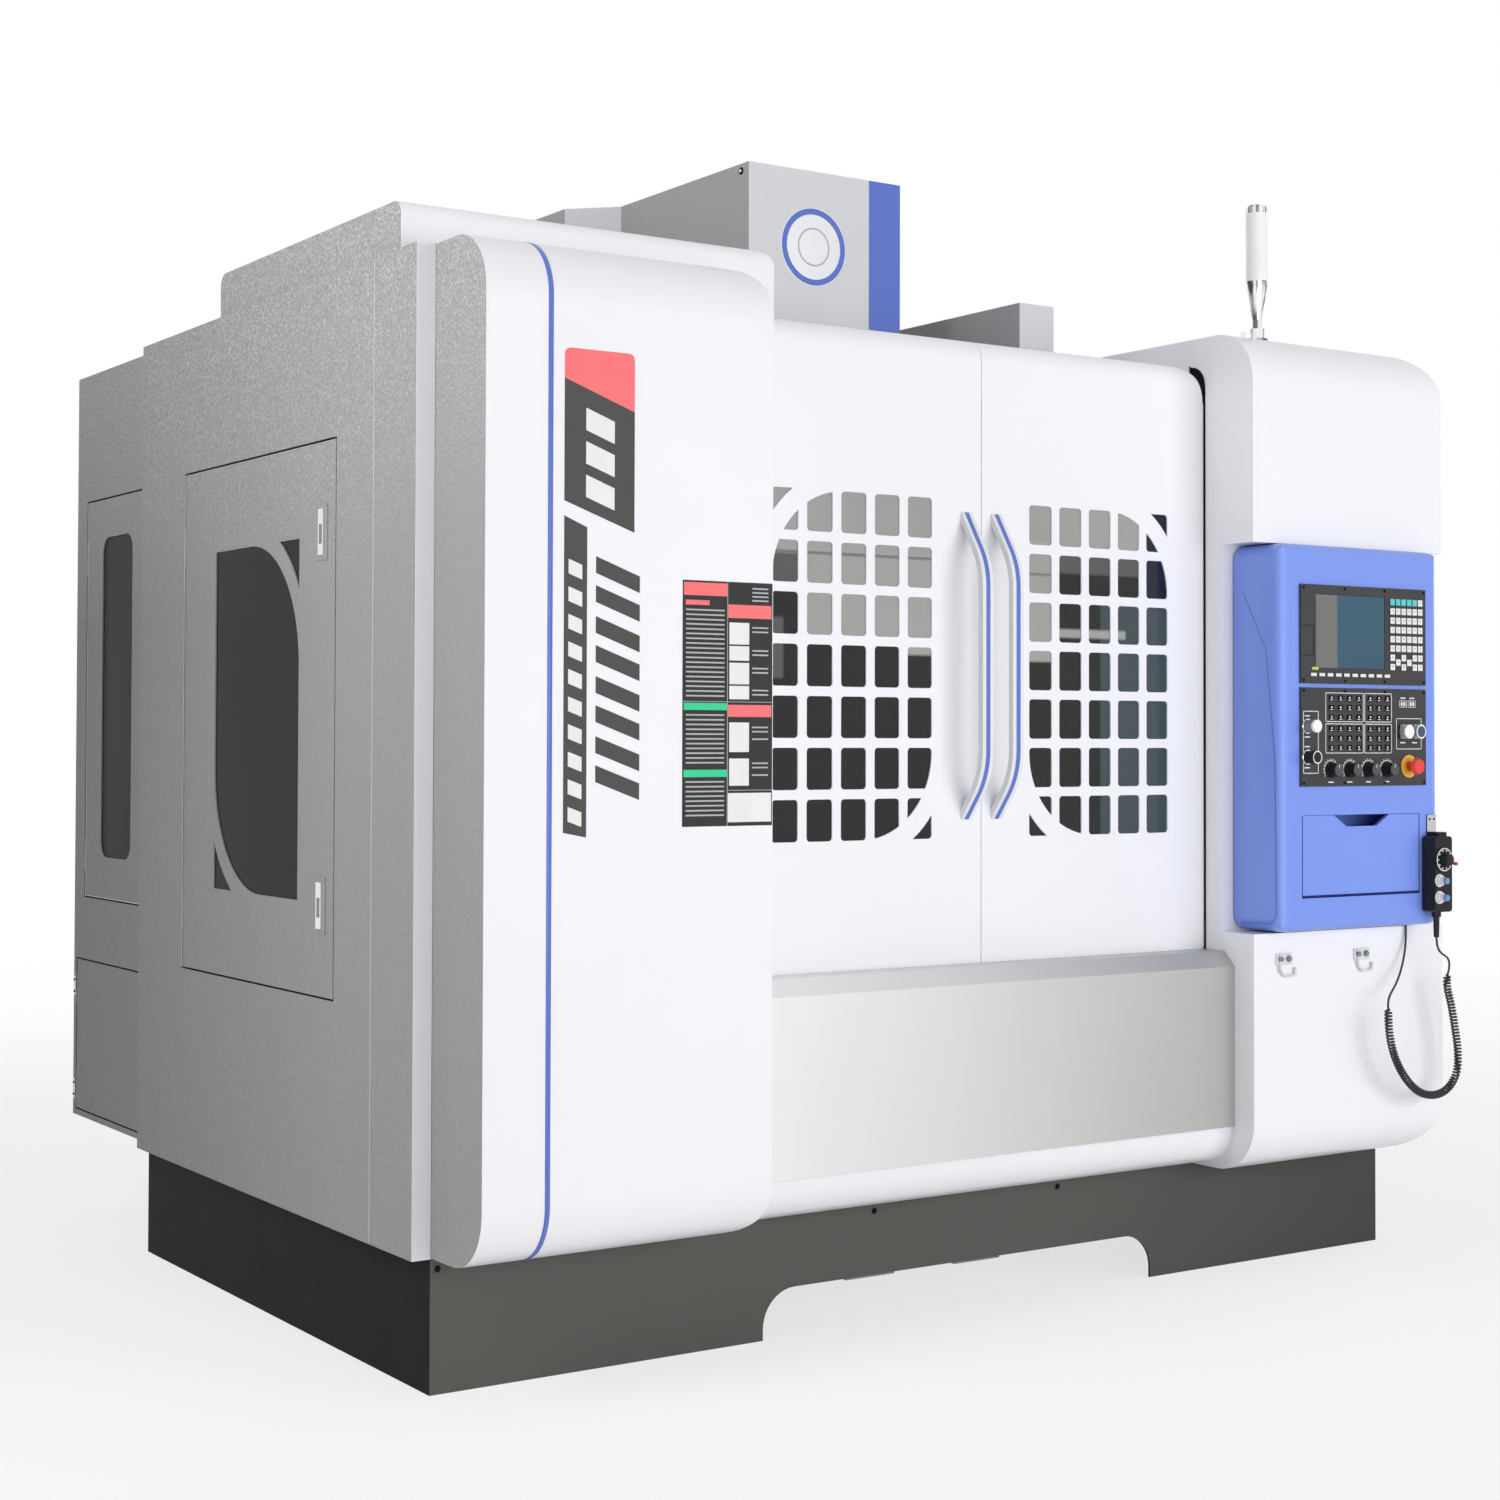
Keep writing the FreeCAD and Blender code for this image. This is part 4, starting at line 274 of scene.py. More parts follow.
def two_sided(name, one_side=False, face=WHITE, grainy=True):
    """Pale enamel whose flat ends, or the left end alone, are silver; grainy silver has the
    painted light and shade of sparkle().
    """
    paint = Paint(name)
    turned_to = paint.facing("X")
    side = (turned_to * -1 if one_side else paint.math("ABSOLUTE", turned_to)) > 0.8
    cloud = paint.noise(CLOUDS, 3)
    if grainy:
        silver, rough, relief = sparkle(paint, SILVER)
    else:
        silver = paint.mixed(cloud, tint(SILVER, 1.22), tint(SILVER, 1.40))
        rough, relief = cloud * 0.1 + 0.36, paint.noise(300, 2)
    white = paint.mixed(cloud, tint(face, 0.97), tint(face, 1.03))
    mixed = paint.mixed(side, white, silver)
    roughness = side * (rough - 0.34) + 0.34
    height = side * relief + (1 - side) * paint.noise(PEEL, 2) * 0.2
    return paint.done(mixed, roughness, side * SILVER_METAL, paint.bump(height, SILVER_RELIEF))


def skirt_enamel(name):
    """Charcoal skirt enamel, near black on the ends of the base."""
    paint = Paint(name)
    facing = paint.facing("X")
    ends = paint.math("ABSOLUTE", facing) > 0.7
    cloud = paint.noise(2.2, 3)
    right = paint.clamp(paint.axis("X"), 0.2, 1.3)
    front = paint.mixed(right * (cloud * 0.3 + 0.85), tint(DARK, 1.06), tint(DARK, 0.66))
    mixed = paint.mixed(ends, front, DARK_SIDE)
    return paint.done(mixed, paint.noise(9, 3) * 0.1 + 0.42, 0.0,
                      paint.bump(paint.noise(380, 2), 0.06), Specular_IOR_Level=0.03)


def satin_sheet_painted_reflection(name):
    """Satin metal sheet, brushed along its length, with a painted reflection: light at its left
    end, darker towards its right end.
    """
    paint = Paint(name)
    lines = paint.noise(30, 4, (0.4, 1, 60))
    # painted reflection, lighter at the left end and darker towards the right
    across = paint.clamp(paint.axis("X") + paint.noise(1.1, 2) * 0.25, -0.55, 0.80)
    tone = paint.mixed(across, (0.86, 0.86, 0.86), (0.41, 0.405, 0.39))
    mixed = paint.mixed(lines * 0.16, tone, (0.62, 0.62, 0.61))
    return paint.done(mixed, lines * 0.14 + 0.30, 0.30, paint.bump(lines, 0.05))


def brushed(name, colour, roughness=0.36, stretch=(1, 1, 30), strength=0.06):
    """Satin metal sheet brushed along one direction."""
    paint = Paint(name)
    lines = paint.noise(24, 4, stretch)
    mixed = paint.mixed(lines, tint(colour, 0.9), tint(colour, 1.08))
    return paint.done(mixed, lines * 0.18 + (roughness - 0.08), 0.85,
                      paint.bump(lines, strength))


def cast_paint(name, colour):
    """Casting enamel over a sand-cast skin."""
    paint = Paint(name)
    skin = paint.noise(90, 4)
    mixed = paint.mixed(skin, tint(colour, 0.88), tint(colour, 1.08))
    return paint.done(mixed, 0.5, 0.0, paint.bump(skin, 0.35))


def polished(name, colour=(0.82, 0.82, 0.84), roughness=0.12):
    paint = Paint(name)
    smear = paint.noise(30, 3)
    return paint.done(paint.mixed(smear, tint(colour, 0.94), colour),
                      smear * 0.1 + roughness, 1.0, paint.bump(paint.noise(200, 2), 0.02))


def streaked_chrome(name):
    """Bright chrome with long dark reflections painted along its upright axis."""
    paint = Paint(name)
    painted_reflections = paint.clamp(paint.noise(95, 2, (1, 1, 0.012)), 0.44, 0.60)
    mixed = paint.mixed(painted_reflections, (0.86, 0.86, 0.87), (0.16, 0.16, 0.17))
    return paint.done(mixed, paint.noise(30, 2) * 0.1 + 0.12, 0.9)


def two_tone(name, axis, level, near, far, roughness=0.3, coat=0.3):
    """Plastic of one colour up to a level of one axis, and of another beyond it."""
    paint = Paint(name)
    beyond = paint.clamp(paint.axis(axis), level - 0.0004, level + 0.0004)
    speck = paint.noise(SPECKS, 2)
    return paint.done(paint.mixed(beyond, near, far), speck * 0.1 + roughness, 0.0,
                      paint.bump(speck, 0.03, 0.0003), coat)


def plastic(name, colour, roughness=0.42, grain=0.08, coat=0.0, specular=0.5):
    """Moulded plastic with a fine spark texture."""
    paint = Paint(name)
    speck = paint.noise(SPECKS, 2)
    mixed = paint.mixed(paint.noise(20, 2), tint(colour, 0.93), tint(colour, 1.06))
    return paint.done(mixed, speck * 0.14 + (roughness - 0.07), 0.0,
                      paint.bump(speck, grain, 0.0003), coat, Specular_IOR_Level=specular)


def window_glass(name, tone, opacity, fields=(), shine=0.3):
    """Tinted safety glass; each field, painted on it, is two (x, z) corners and the tone inside
    them.
    """
    paint = Paint(name)
    cloud = paint.noise(3, 2)
    colour = paint.mixed(cloud, tint(tone, 0.8), tint(tone, 1.25))
    for low, high, field_tone in fields:
        inside = paint.patch(low, high) * (paint.noise(1.6, 2) * 0.3 + 0.78)
        colour = paint.mixed(inside, colour, field_tone)
    alpha = paint.noise(2, 1) * 0.02 + opacity
    return paint.done(colour, 0.05, 0.0, None, 0.0, Alpha=alpha, IOR=1.5,
                      Specular_IOR_Level=shine)


# painted reflections of the surroundings and painted views of the inside, as pale and dark
# fields in the tinted door windows, given as corners in X and Z
PALE_TONE = (0.37, 0.37, 0.36)
MID_TONE = (0.10, 0.105, 0.10)
BLUE_TONE = (0.052, 0.075, 0.085)
NIGHT_TONE = (0.008, 0.011, 0.026)
LEFT_DOOR_FIELDS = [((-0.56, 1.545), (-0.09, 1.72), PALE_TONE),
                    ((-0.462, 1.373), (-0.09, 1.555), PALE_TONE),
                    ((-0.56, 1.48), (-0.462, 1.545), MID_TONE),
                    ((-0.56, 1.30), (-0.500, 1.42), MID_TONE),
                    ((-0.56, 1.5475), (-0.09, 1.5515), (0.06, 0.06, 0.06)),
                    ((-0.210, 1.352), (-0.09, 1.380), PALE_TONE)]
RIGHT_DOOR_FIELDS = [((0.09, 1.575), (0.445, 1.72), PALE_TONE),
                     ((0.09, 1.345), (0.198, 1.60), PALE_TONE),
                     ((0.198, 1.535), (0.445, 1.575), MID_TONE),
                     ((0.09, 1.528), (0.198, 1.5315), (0.08, 0.08, 0.08)),
                     ((0.328, 0.93), (0.56, 1.487), BLUE_TONE),
                     ((0.198, 1.398), (0.400, 1.416), PALE_TONE),
                     ((0.445, 1.487), (0.56, 1.72), NIGHT_TONE)]


FINISH = {
    "white": painted("white_enamel", WHITE),
    # painted light up high and painted shade towards the back, here and on the silver sides of
    # the next two
    "silver": hammered("silver_texture_painted_light", SILVER),
    "left_white": two_sided("white_cover_silver_side", one_side=True),
    "front_white": two_sided("silver_sides_white_front"),
    # painted shade: pale grey on the fronts of the roof duct and tower hood
    "front_painted_shade": two_sided("smooth_sides_painted_shade_front", False, (0.64, 0.65, 0.67), False),
    "dark": skirt_enamel("charcoal_enamel"),
    "blue": painted("blue_enamel", BLUE, 0.36, 0.03, 0.2),
    "deep_blue": painted("stripe_blue_enamel", DEEP_BLUE, 0.3, 0.02, 0.2),
    "satin": satin_sheet_painted_reflection("satin_sheet_painted_reflection"),
    "rail": brushed("ground_rail", (0.62, 0.62, 0.63), 0.3, (30, 1, 1)),
    "casting": cast_paint("casting_enamel", (0.34, 0.37, 0.39)),
    "chrome": polished("chrome_plate"),
    "handle": painted("handle_enamel", (0.76, 0.77, 0.80), 0.28, 0.015),
    "steel": polished("bright_steel", (0.62, 0.62, 0.63), 0.2),
    "bolt": polished("bolt_steel", (0.30, 0.30, 0.32), 0.3),
    # pale sheet colour of the hanger hooks and the side seam, and painted highlights on door
    # edges
    "edge_light": painted("light_sheet_edge", (0.66, 0.67, 0.68), 0.4, 0.01, 0.0),
    "streaked": streaked_chrome("lamp_chrome"),
    "black": plastic("black_plastic", (0.016, 0.016, 0.018), specular=0.2),
    "panel": plastic("panel_charcoal", (0.045, 0.045, 0.049), 0.5, specular=0.3),
    "knob_cap": plastic("knob_cap_grey", (0.055, 0.062, 0.062), 0.45, 0.05),
    "key": plastic("key_black", (0.008, 0.008, 0.009), 0.35, specular=0.3),
    "pale": plastic("pale_key", (0.76, 0.77, 0.75), 0.4, 0.04),
    "teal": plastic("teal_key", (0.10, 0.55, 0.60), 0.4, 0.04),
    "lime": plastic("lime_mark", (0.50, 0.62, 0.10), 0.4, 0.04),
    "red": plastic("red_plastic", (0.72, 0.035, 0.022), 0.25, 0.02, 0.3),
    "amber": plastic("amber_ring", (0.80, 0.42, 0.03), 0.35, 0.02, 0.2),
    "white_plastic": plastic("white_plastic", (0.82, 0.82, 0.80), 0.25, 0.02, 0.3),
    "lamp": plastic("opal_lens", (0.84, 0.85, 0.84), 0.22, 0.02, 0.4),
    "cable": plastic("cord_jacket", (0.013, 0.013, 0.014), 0.32, 0.05, 0.15),
    "mark_white": plastic("white_print", (0.80, 0.80, 0.80), 0.5, 0.01),
    "mark_grey": plastic("grey_print", (0.45, 0.46, 0.47), 0.5, 0.01),
    "decal_charcoal": plastic("charcoal_film", (0.075, 0.073, 0.072), 0.42, 0.02,
                              specular=0.2),
    "decal_red": plastic("red_film", (0.93, 0.19, 0.20), 0.42, 0.02, specular=0.2),
    "decal_green": plastic("green_film", (0.05, 0.62, 0.30), 0.42, 0.02, specular=0.2),
    "plate_dark": plastic("notice_plate_dark", (0.03, 0.03, 0.031), 0.42, 0.02,
                          specular=0.25),
    "seam": plastic("seam_shadow", (0.20, 0.205, 0.205), 0.5, 0.05),
    "seam_blue": plastic("blue_seam_shadow", (0.075, 0.105, 0.36), 0.45, 0.03),
    "gap_blue": plastic("deep_gap_shade_blue", (0.012, 0.016, 0.10), 0.5, 0.02, specular=0.1),
    "hole": plastic("screw_hole_black", (0.006, 0.006, 0.006), 0.6, 0.02, specular=0.1),
    "edge_seal": plastic("grey_seal_gap_shade", (0.50, 0.52, 0.56), 0.5, 0.04),
    "switch": two_tone("pendant_switch_plastic", "Y", -1.0305, (0.13, 0.27, 0.46),
                       (0.74, 0.74, 0.73)),
    "start_lens": two_tone("start_button_white_lens", "Y", -1.0035, (0.86, 0.86, 0.84),
                           (0.20, 0.20, 0.21)),
    "start_guard": two_tone("clear_guard_white_lens", "Y", -0.9936, (0.86, 0.86, 0.84),
                            (0.34, 0.35, 0.36)),
    "stop_guard": two_tone("clear_guard_dark_lens", "Y", -0.9936, (0.035, 0.05, 0.12),
                           (0.34, 0.35, 0.36)),
    "bottle": two_tone("blue_bottle_amber_cap", "Z", 1.0545, (0.05, 0.16, 0.50),
                       (0.85, 0.45, 0.03)),
    # painted reflection: the grey field on the screen
    "screen": window_glass("screen_glass", (0.030, 0.085, 0.135), 0.999,
                           [((0.70, 1.30), (0.838, 1.53), (0.165, 0.165, 0.155))]),
    "left_door_glass": window_glass("left_door_glass", (0.014, 0.016, 0.0145), 0.95,
                                    LEFT_DOOR_FIELDS),
    "right_door_glass": window_glass("right_door_glass", (0.014, 0.016, 0.0145), 0.95,
                                     RIGHT_DOOR_FIELDS),
    "side_glass": window_glass("side_glass", (0.016, 0.018, 0.013), 0.90, shine=0.04),
    "rear_glass": window_glass("rear_glass", (0.030, 0.034, 0.031), 0.38, shine=0.07),
}

DRESSED = {
    "white": "roof_panel right_column_cover kick_strip left_door right_door",
    "silver": "left_side_panel right_side_panel rear_panel rear_cabinet electrical_cabinet "
              "side_door rear_upper_door rear_lower_door",
    "front_white": "roof_cover", "front_painted_shade": "roof_duct tower_hood",
    "left_white": "left_front_cover", "satin": "lower_front_panel", "dark": "base_skirt",
    "blue": "control_box tray_flap", "handle": "left_handle right_handle",
    "casting": "bed_casting column_casting saddle spindle_head magazine_arm",
    "rail": "door_sill table spindle magazine_disc", "chrome": "latch_upper latch_lower",
    "streaked": "lamp_body", "lamp": "lamp_lens", "edge_light": "hanger_hooks",
    "bottle": "lubrication_tank", "left_door_glass": "left_door_glass",
    "right_door_glass": "right_door_glass", "side_glass": "side_door_glass",
    "rear_glass": "rear_upper_glass", "panel": "screen_module operator_module",
    "start_lens": "start_button", "start_guard": "guarded_button_1",
    "stop_guard": "guarded_button_2", "red": "emergency_button",
    "black": "stop_button pendant_body pendant_dial override_knob_1 override_knob_2 "
             "override_knob_3 override_knob_4",
    "switch": "pendant_switch_1 pendant_switch_2",
}
for finish, names in DRESSED.items():
    for node_name in names.split():
        slots = nodes[node_name].data.materials
        slots.clear()
        slots.append(FINISH[finish])

# the record's material slot for each finish that an added piece has
SLOTS = {
    "white_paint": "white",
    "blue_paint": "deep_blue gap_blue seam_blue",
    "silver_paint": "edge_light edge_seal seam mark_grey",
    "chrome": "chrome steel bolt streaked",
    "black_plastic": "black key knob_cap hole plate_dark decal_charcoal",
    "white_plastic": "white_plastic mark_white pale teal lime decal_green",
    "red_plastic": "red amber decal_red",
    "glass": "screen",
}
SLOT_OF = {finish: slot for slot, names in SLOTS.items() for finish in names.split()}


# ------------------------------------------------------------------ making pieces
FINE_EDGE, SOFT_EDGE = 0.0002, 0.0004
SHARP_ABOVE = math.radians(35)


def place_piece(mesh, name, finish, body, smooth=False):
    """Puts a finished mesh in the scene at the origin, riding on its body."""
    piece = bpy.data.objects.new(name, mesh)
    bpy.context.scene.collection.objects.link(piece)
    mesh.materials.clear()
    mesh.materials.append(FINISH[finish])
    for face in mesh.polygons:
        face.use_smooth = smooth
    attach(piece, body)
    return piece


def shaped(shape, name, finish, body, smooth=False, turn_out=True):
    """Makes a piece of a shape, with its faces turned outwards if they aren't yet."""
    if turn_out:
        bmesh.ops.recalc_face_normals(shape, faces=shape.faces)
    mesh = bpy.data.meshes.new(name)
    shape.to_mesh(mesh)
    shape.free()
    return place_piece(mesh, name, finish, body, smooth)


def slabs(name, boxes, finish, body="machine", edge=0.0):
    """Thin plates or blocks as one piece, from pairs of corners in metres."""
    shape = bmesh.new()
    for low, high in boxes:
        corners = bmesh.ops.create_cube(shape, size=1.0)["verts"]
        for corner in corners:
            for axis in range(3):
                corner.co[axis] = high[axis] if corner.co[axis] > 0 else low[axis]
        if edge:
            edges = list({one for corner in corners for one in corner.link_edges})
            bmesh.ops.bevel(shape, geom=edges, offset=edge, segments=1, affect="EDGES")
    return shaped(shape, name, finish, body, turn_out=False)


def on_front(left, right, low, high, face, proud):
    """Corners of a thin plate that lies on a face towards -Y."""
    return (left, face - proud, low), (right, face - SKIN, high)


def on_side(front, back, low, high, face, proud):
    """Corners of a thin plate that lies on a face towards -X."""
    return (face - proud, front, low), (face - SKIN, back, high)


def add_plate(shape, points, levels, plane="XZ"):
    """Adds a flat plate between two levels, from the (u, v) points of its outline."""
    rings = [[shape.verts.new((u, level, v) if plane == "XZ" else (level, u, v))
              for u, v in points] for level in levels]
    shape.faces.new(rings[0])
    shape.faces.new(list(reversed(rings[1])))
    for index in range(len(points)):
        after = (index + 1) % len(points)
        shape.faces.new((rings[0][after], rings[0][index], rings[1][index], rings[1][after]))


def plates(name, outlines, levels, finish, body="machine", plane="XZ"):
    """Flat plates of any outline as one piece."""
    shape = bmesh.new()
    for points in outlines:
        add_plate(shape, points, levels, plane)
    return shaped(shape, name, finish, body)


def bridge(shape, rows, rows_close, lines_close):
    """Faces between rows of corners, and end faces wherever the skin is still open."""
    loop = rows + rows[:1] if rows_close else rows
    count = len(rows[0])
    for low_row, high_row in zip(loop, loop[1:]):
        for index in range(count if lines_close else count - 1):
            after = (index + 1) % count
            shape.faces.new((low_row[index], low_row[after], high_row[after],
                             high_row[index]))
    if not lines_close:
        shape.faces.new([row[0] for row in rows])
        shape.faces.new([row[-1] for row in rows])
    if not rows_close:
        shape.faces.new(rows[0])
        shape.faces.new(rows[-1])


def strip(name, left, right, inner, outer, finish, body, smooth=False):
    """A thin strip between two places in X, from the (y, z) lines of its back and front."""
    shape = bmesh.new()
    rows = [[shape.verts.new((x, y, z)) for y, z in line]
            for x, line in ((left, inner), (left, outer), (right, outer), (right, inner))]
    bridge(shape, rows, True, False)
    return shaped(shape, name, finish, body, smooth)


def ring_plate(name, centre, radii, front, thickness, finish, body, steps=64,
               sweep=(0, 2 * math.pi)):
    """A flat ring, or part of one, facing -Y."""
    inner, outer = radii
    full = abs(sweep[1] - sweep[0] - 2 * math.pi) < 1e-6
    angles = [sweep[0] + (sweep[1] - sweep[0]) * index / steps
              for index in range(steps if full else steps + 1)]
    shape = bmesh.new()
    rows = []
    for radius, level in ((inner, front + thickness), (inner, front), (outer, front),
                          (outer, front + thickness)):
        rows.append([shape.verts.new((centre[0] + radius * math.cos(a), level,
                                      centre[1] + radius * math.sin(a))) for a in angles])
    bridge(shape, rows, True, full)
    return shaped(shape, name, finish, body)


def turned(name, centre, profile, finish, body, upright=False, steps=48):
    """A turned piece along Y, or upright: (radius, distance along the axis) pairs."""
    shape = bmesh.new()
    rows = []
    for radius, along_axis in profile:
        row = []
        for index in range(steps):
            angle = 2 * math.pi * index / steps
            u, v = radius * math.cos(angle), radius * math.sin(angle)
            offset = (u, v, along_axis) if upright else (u, along_axis, v)
            row.append(shape.verts.new(Vector(centre) + Vector(offset)))
        rows.append(row)
    bridge(shape, rows, False, True)
    piece = shaped(shape, name, finish, body, smooth=True)
    piece.data.set_sharp_from_angle(angle=SHARP_ABOVE)
    return piece


# ------------------------------------------------------------------ repeated pieces
PARTS = {
    "screw": ("GeometryNodeMeshCone", {"Vertices": 16, "Radius Top": 0.36,
                                       "Radius Bottom": 0.5, "Depth": 1.0}),
    "mark": ("GeometryNodeMeshCube", {"Size": (1, 1, 1)}),
}
INPUTS = {"Points": "Geometry", "Size": "Vector", "Turn": "Vector", "Finish": "Material"}
TURNS = {"-Y": (math.pi / 2, 0, 0), "-X": (0, -math.pi / 2, 0), "+X": (0, math.pi / 2, 0),
         "+Z": (0, 0, 0)}


def repeat_tree(kind):
    """Geometry nodes that put one small part on every point, then make it real."""
    tree = bpy.data.node_groups.new(f"repeat_{kind}", "GeometryNodeTree")
    for name, sort in INPUTS.items():
        tree.interface.new_socket(name, in_out="INPUT", socket_type=f"NodeSocket{sort}")
    tree.interface.new_socket("Result", in_out="OUTPUT", socket_type="NodeSocketGeometry")
    part_node, values = PARTS[kind]
    given, part, spread, real, dressed, made = (tree.nodes.new(sort) for sort in (
        "NodeGroupInput", part_node, "GeometryNodeInstanceOnPoints",
        "GeometryNodeRealizeInstances", "GeometryNodeSetMaterial", "NodeGroupOutput"))
    for key, value in values.items():
        part.inputs[key].default_value = value
    for source, output, target, socket in (
            (given, "Points", spread, "Points"), (part, "Mesh", spread, "Instance"),
            (given, "Size", spread, "Scale"), (given, "Turn", spread, "Rotation"),
            (spread, "Instances", real, "Geometry"), (real, "Geometry", dressed, "Geometry"),
            (given, "Finish", dressed, "Material"), (dressed, "Geometry", made, "Result")):
        tree.links.new(source.outputs[output], target.inputs[socket])
    return tree


REPEAT = {kind: repeat_tree(kind) for kind in PARTS}


def repeated(kind, name, points, size, turn, finish, body):
    """Copies of one small part at the points, as one plain mesh."""
    seeds = bpy.data.meshes.new(f"{name}_points")
    seeds.from_pydata([tuple(point) for point in points], [], [])
    carrier = bpy.data.objects.new(f"{name}_seeds", seeds)
    bpy.context.scene.collection.objects.link(carrier)
    modifier = carrier.modifiers.new("repeat", "NODES")
    modifier.node_group = REPEAT[kind]
    given = {"Size": size, "Turn": TURNS[turn], "Finish": FINISH[finish]}
    for item in REPEAT[kind].interface.items_tree:
        if item.in_out == "INPUT" and item.name in given:
            modifier[item.identifier] = given[item.name]
    view = bpy.context.evaluated_depsgraph_get()
    mesh = bpy.data.meshes.new_from_object(carrier.evaluated_get(view))
    mesh.name = name
    carrier.modifiers.remove(modifier)
    bpy.data.objects.remove(carrier)
    return place_piece(mesh, name, finish, body)


def screws(name, points, across, depth, turn, finish="hole", body="machine"):
    """Round heads, sockets or holes, facing one way."""
    repeated("screw", name, points, (across, across, depth), turn, finish, body)


def marks(name, places, level, size, finish="mark_white", body="control_box"):
    """Small printed marks at one level in Y, from their (x, z) places."""
    repeated("mark", name, [(x, level, z) for x, z in places], size, "+Z", finish, body)


# ------------------------------------------------------------------ cord
CORD_Y = -993
LEAD_POINTS = [(1141, CORD_Y, 737), (1141, CORD_Y, 716), (1158, CORD_Y, 698),
               (1180, CORD_Y, 690), (1186, CORD_Y, 672), (1179, CORD_Y, 652)]
COIL_POINTS = [(1179, CORD_Y, 652), (1172, CORD_Y, 632), (1190, CORD_Y, 585),
               (1202, CORD_Y, 532), (1213, CORD_Y, 478), (1211, CORD_Y, 426),
               (1177, CORD_Y, 390), (1130, CORD_Y, 380), (1078, CORD_Y, 392),
               (1034, CORD_Y, 428), (1002, CORD_Y, 474), (985, CORD_Y, 524),
               (981, CORD_Y, 570), (981, CORD_Y, 586)]
BOX_LEAD_POINTS = [(981, CORD_Y, 586), (981, CORD_Y, 606), (1002, -985, 622),
                   (1030, -972, 634), (1060, -958, 656), (1088, -945, 688),
                   (1106, -935, 722), (1112, -930, 750), (1112, -930, 764)]
CORD_DIAMETER = 0.005
CURL_RADIUS = 0.0071
CURL_PITCH = 0.0074
CURL_STEPS = 12


def in_metres(points):
    return [Vector(point) * MM for point in points]


def length_of(places):
    return sum((b - a).length for a, b in zip(places, places[1:]))


def spline_object(name, points):
    data = bpy.data.curves.new(name, "CURVE")
    data.dimensions = "3D"
    line = data.splines.new("NURBS")
    line.points.add(len(points) - 1)
    for point, place in zip(line.points, points):
        point.co = (*place, 1.0)
    line.order_u = 3
    line.use_endpoint_u = True
    piece = bpy.data.objects.new(name, data)
    bpy.context.scene.collection.objects.link(piece)
    return piece


def smooth_line(points, resolution):
    """Places along the smooth line that a route's corners control."""
    guide = spline_object("guide", points)
    guide.data.resolution_u = resolution
    view = bpy.context.evaluated_depsgraph_get()
    mesh = bpy.data.meshes.new_from_object(guide.evaluated_get(view))
    places = [vertex.co.copy() for vertex in mesh.vertices]
    bpy.data.meshes.remove(mesh)
    bpy.data.objects.remove(guide)
    return places


def along(route, distance):
    """Place and heading at a distance along a route's points."""
    for first, second in zip(route, route[1:]):
        step = (second - first).length
        if distance <= step or second is route[-1]:
            heading = (second - first).normalized()
            return first + heading * min(distance, step), heading
        distance -= step


def curls(route):
    """The helix of the curly stretch, opening and closing over one turn."""
    length = length_of(route)
    count = round(length / CURL_PITCH) * CURL_STEPS
    across = Vector((0, 1, 0))
    points = []
    for index in range(1, count):
        place, heading = along(route, length * index / count)
        side = heading.cross(across).normalized()
        swing = min(1.0, index / CURL_STEPS, (count - index) / CURL_STEPS)
        angle = 2 * math.pi * index / CURL_STEPS
        reach = CURL_RADIUS * swing
        points.append(place + side * (reach * math.cos(angle))
                      + across * (reach * math.sin(angle)))
    return points


def make_cord():
    """The cord from the pendant to the control box, curly in its middle stretch."""
    points = in_metres(LEAD_POINTS[:-1]) + curls(smooth_line(in_metres(COIL_POINTS), 24))
    points += in_metres(BOX_LEAD_POINTS[1:])
    cord = spline_object("pendant_cord", points)
    cord.data.resolution_u = 2
    cord.data.bevel_depth = CORD_DIAMETER / 2
    cord.data.bevel_resolution = 2
    cord.data.use_fill_caps = True
    cord.data.materials.append(FINISH["cable"])
    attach(cord, "control_box")
    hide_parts("pendant_lead", "curly_cord", "box_lead")
    length_of(smooth_line(points, 4))


make_cord()


# ------------------------------------------------------------------ enclosure trim
cover_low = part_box("left_front_cover")[0]
side_low, side_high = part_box("left_side_panel")
hood_low, hood_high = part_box("tower_hood")
COVER_FACE = cover_low.y
COVER_ROUND = 0.110
PINSTRIPE = (-1.110, -1.100)
TOWER_HALF = 0.211
STRIPE_WIDTH = 0.089
BADGE_X, BADGE_Z = BADGE_CENTRE = (-0.035, 2.297)
BADGE_RADIUS = 0.0895


def profile_points(node, rounds, offset, steps=14):
    """(y, z) points of a cover's rounded front, from its bottom back to its top back."""
    low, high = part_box(node)
    reach = rounds + offset
    points = [(high.y, low.z - offset)]
    for level, start in ((low.z + rounds, 270), (high.z - rounds, 180)):
        for index in range(steps + 1):
            angle = math.radians(start - 90 * index / steps)
            points.append((low.y + rounds + reach * math.cos(angle),
                           level + reach * math.sin(angle)))
    return points + [(high.y, high.z + offset)]


strip("pinstripe", *PINSTRIPE, profile_points("left_front_cover", COVER_ROUND, SKIN),
      profile_points("left_front_cover", COVER_ROUND, 0.0006), "deep_blue", "machine",
      smooth=True)
slabs("left_front_return", [on_front(side_low.x, cover_low.x - 0.0006, side_low.z,
                                     side_high.z, side_low.y, 0.0008)], "white", edge=FINE_EDGE)
slabs("hood_stripe", [on_front(TOWER_HALF - STRIPE_WIDTH, TOWER_HALF + 0.0003,
                               hood_low.z + 0.0005, hood_high.z - 0.0005, hood_low.y,
                               0.0008)], "deep_blue", edge=FINE_EDGE)
turned("badge_disc", (BADGE_X, hood_low.y, BADGE_Z),
       [(BADGE_RADIUS, -0.0001), (BADGE_RADIUS, -0.0012), (BADGE_RADIUS - 0.001, -0.0016)],
       "white", "machine", steps=72)
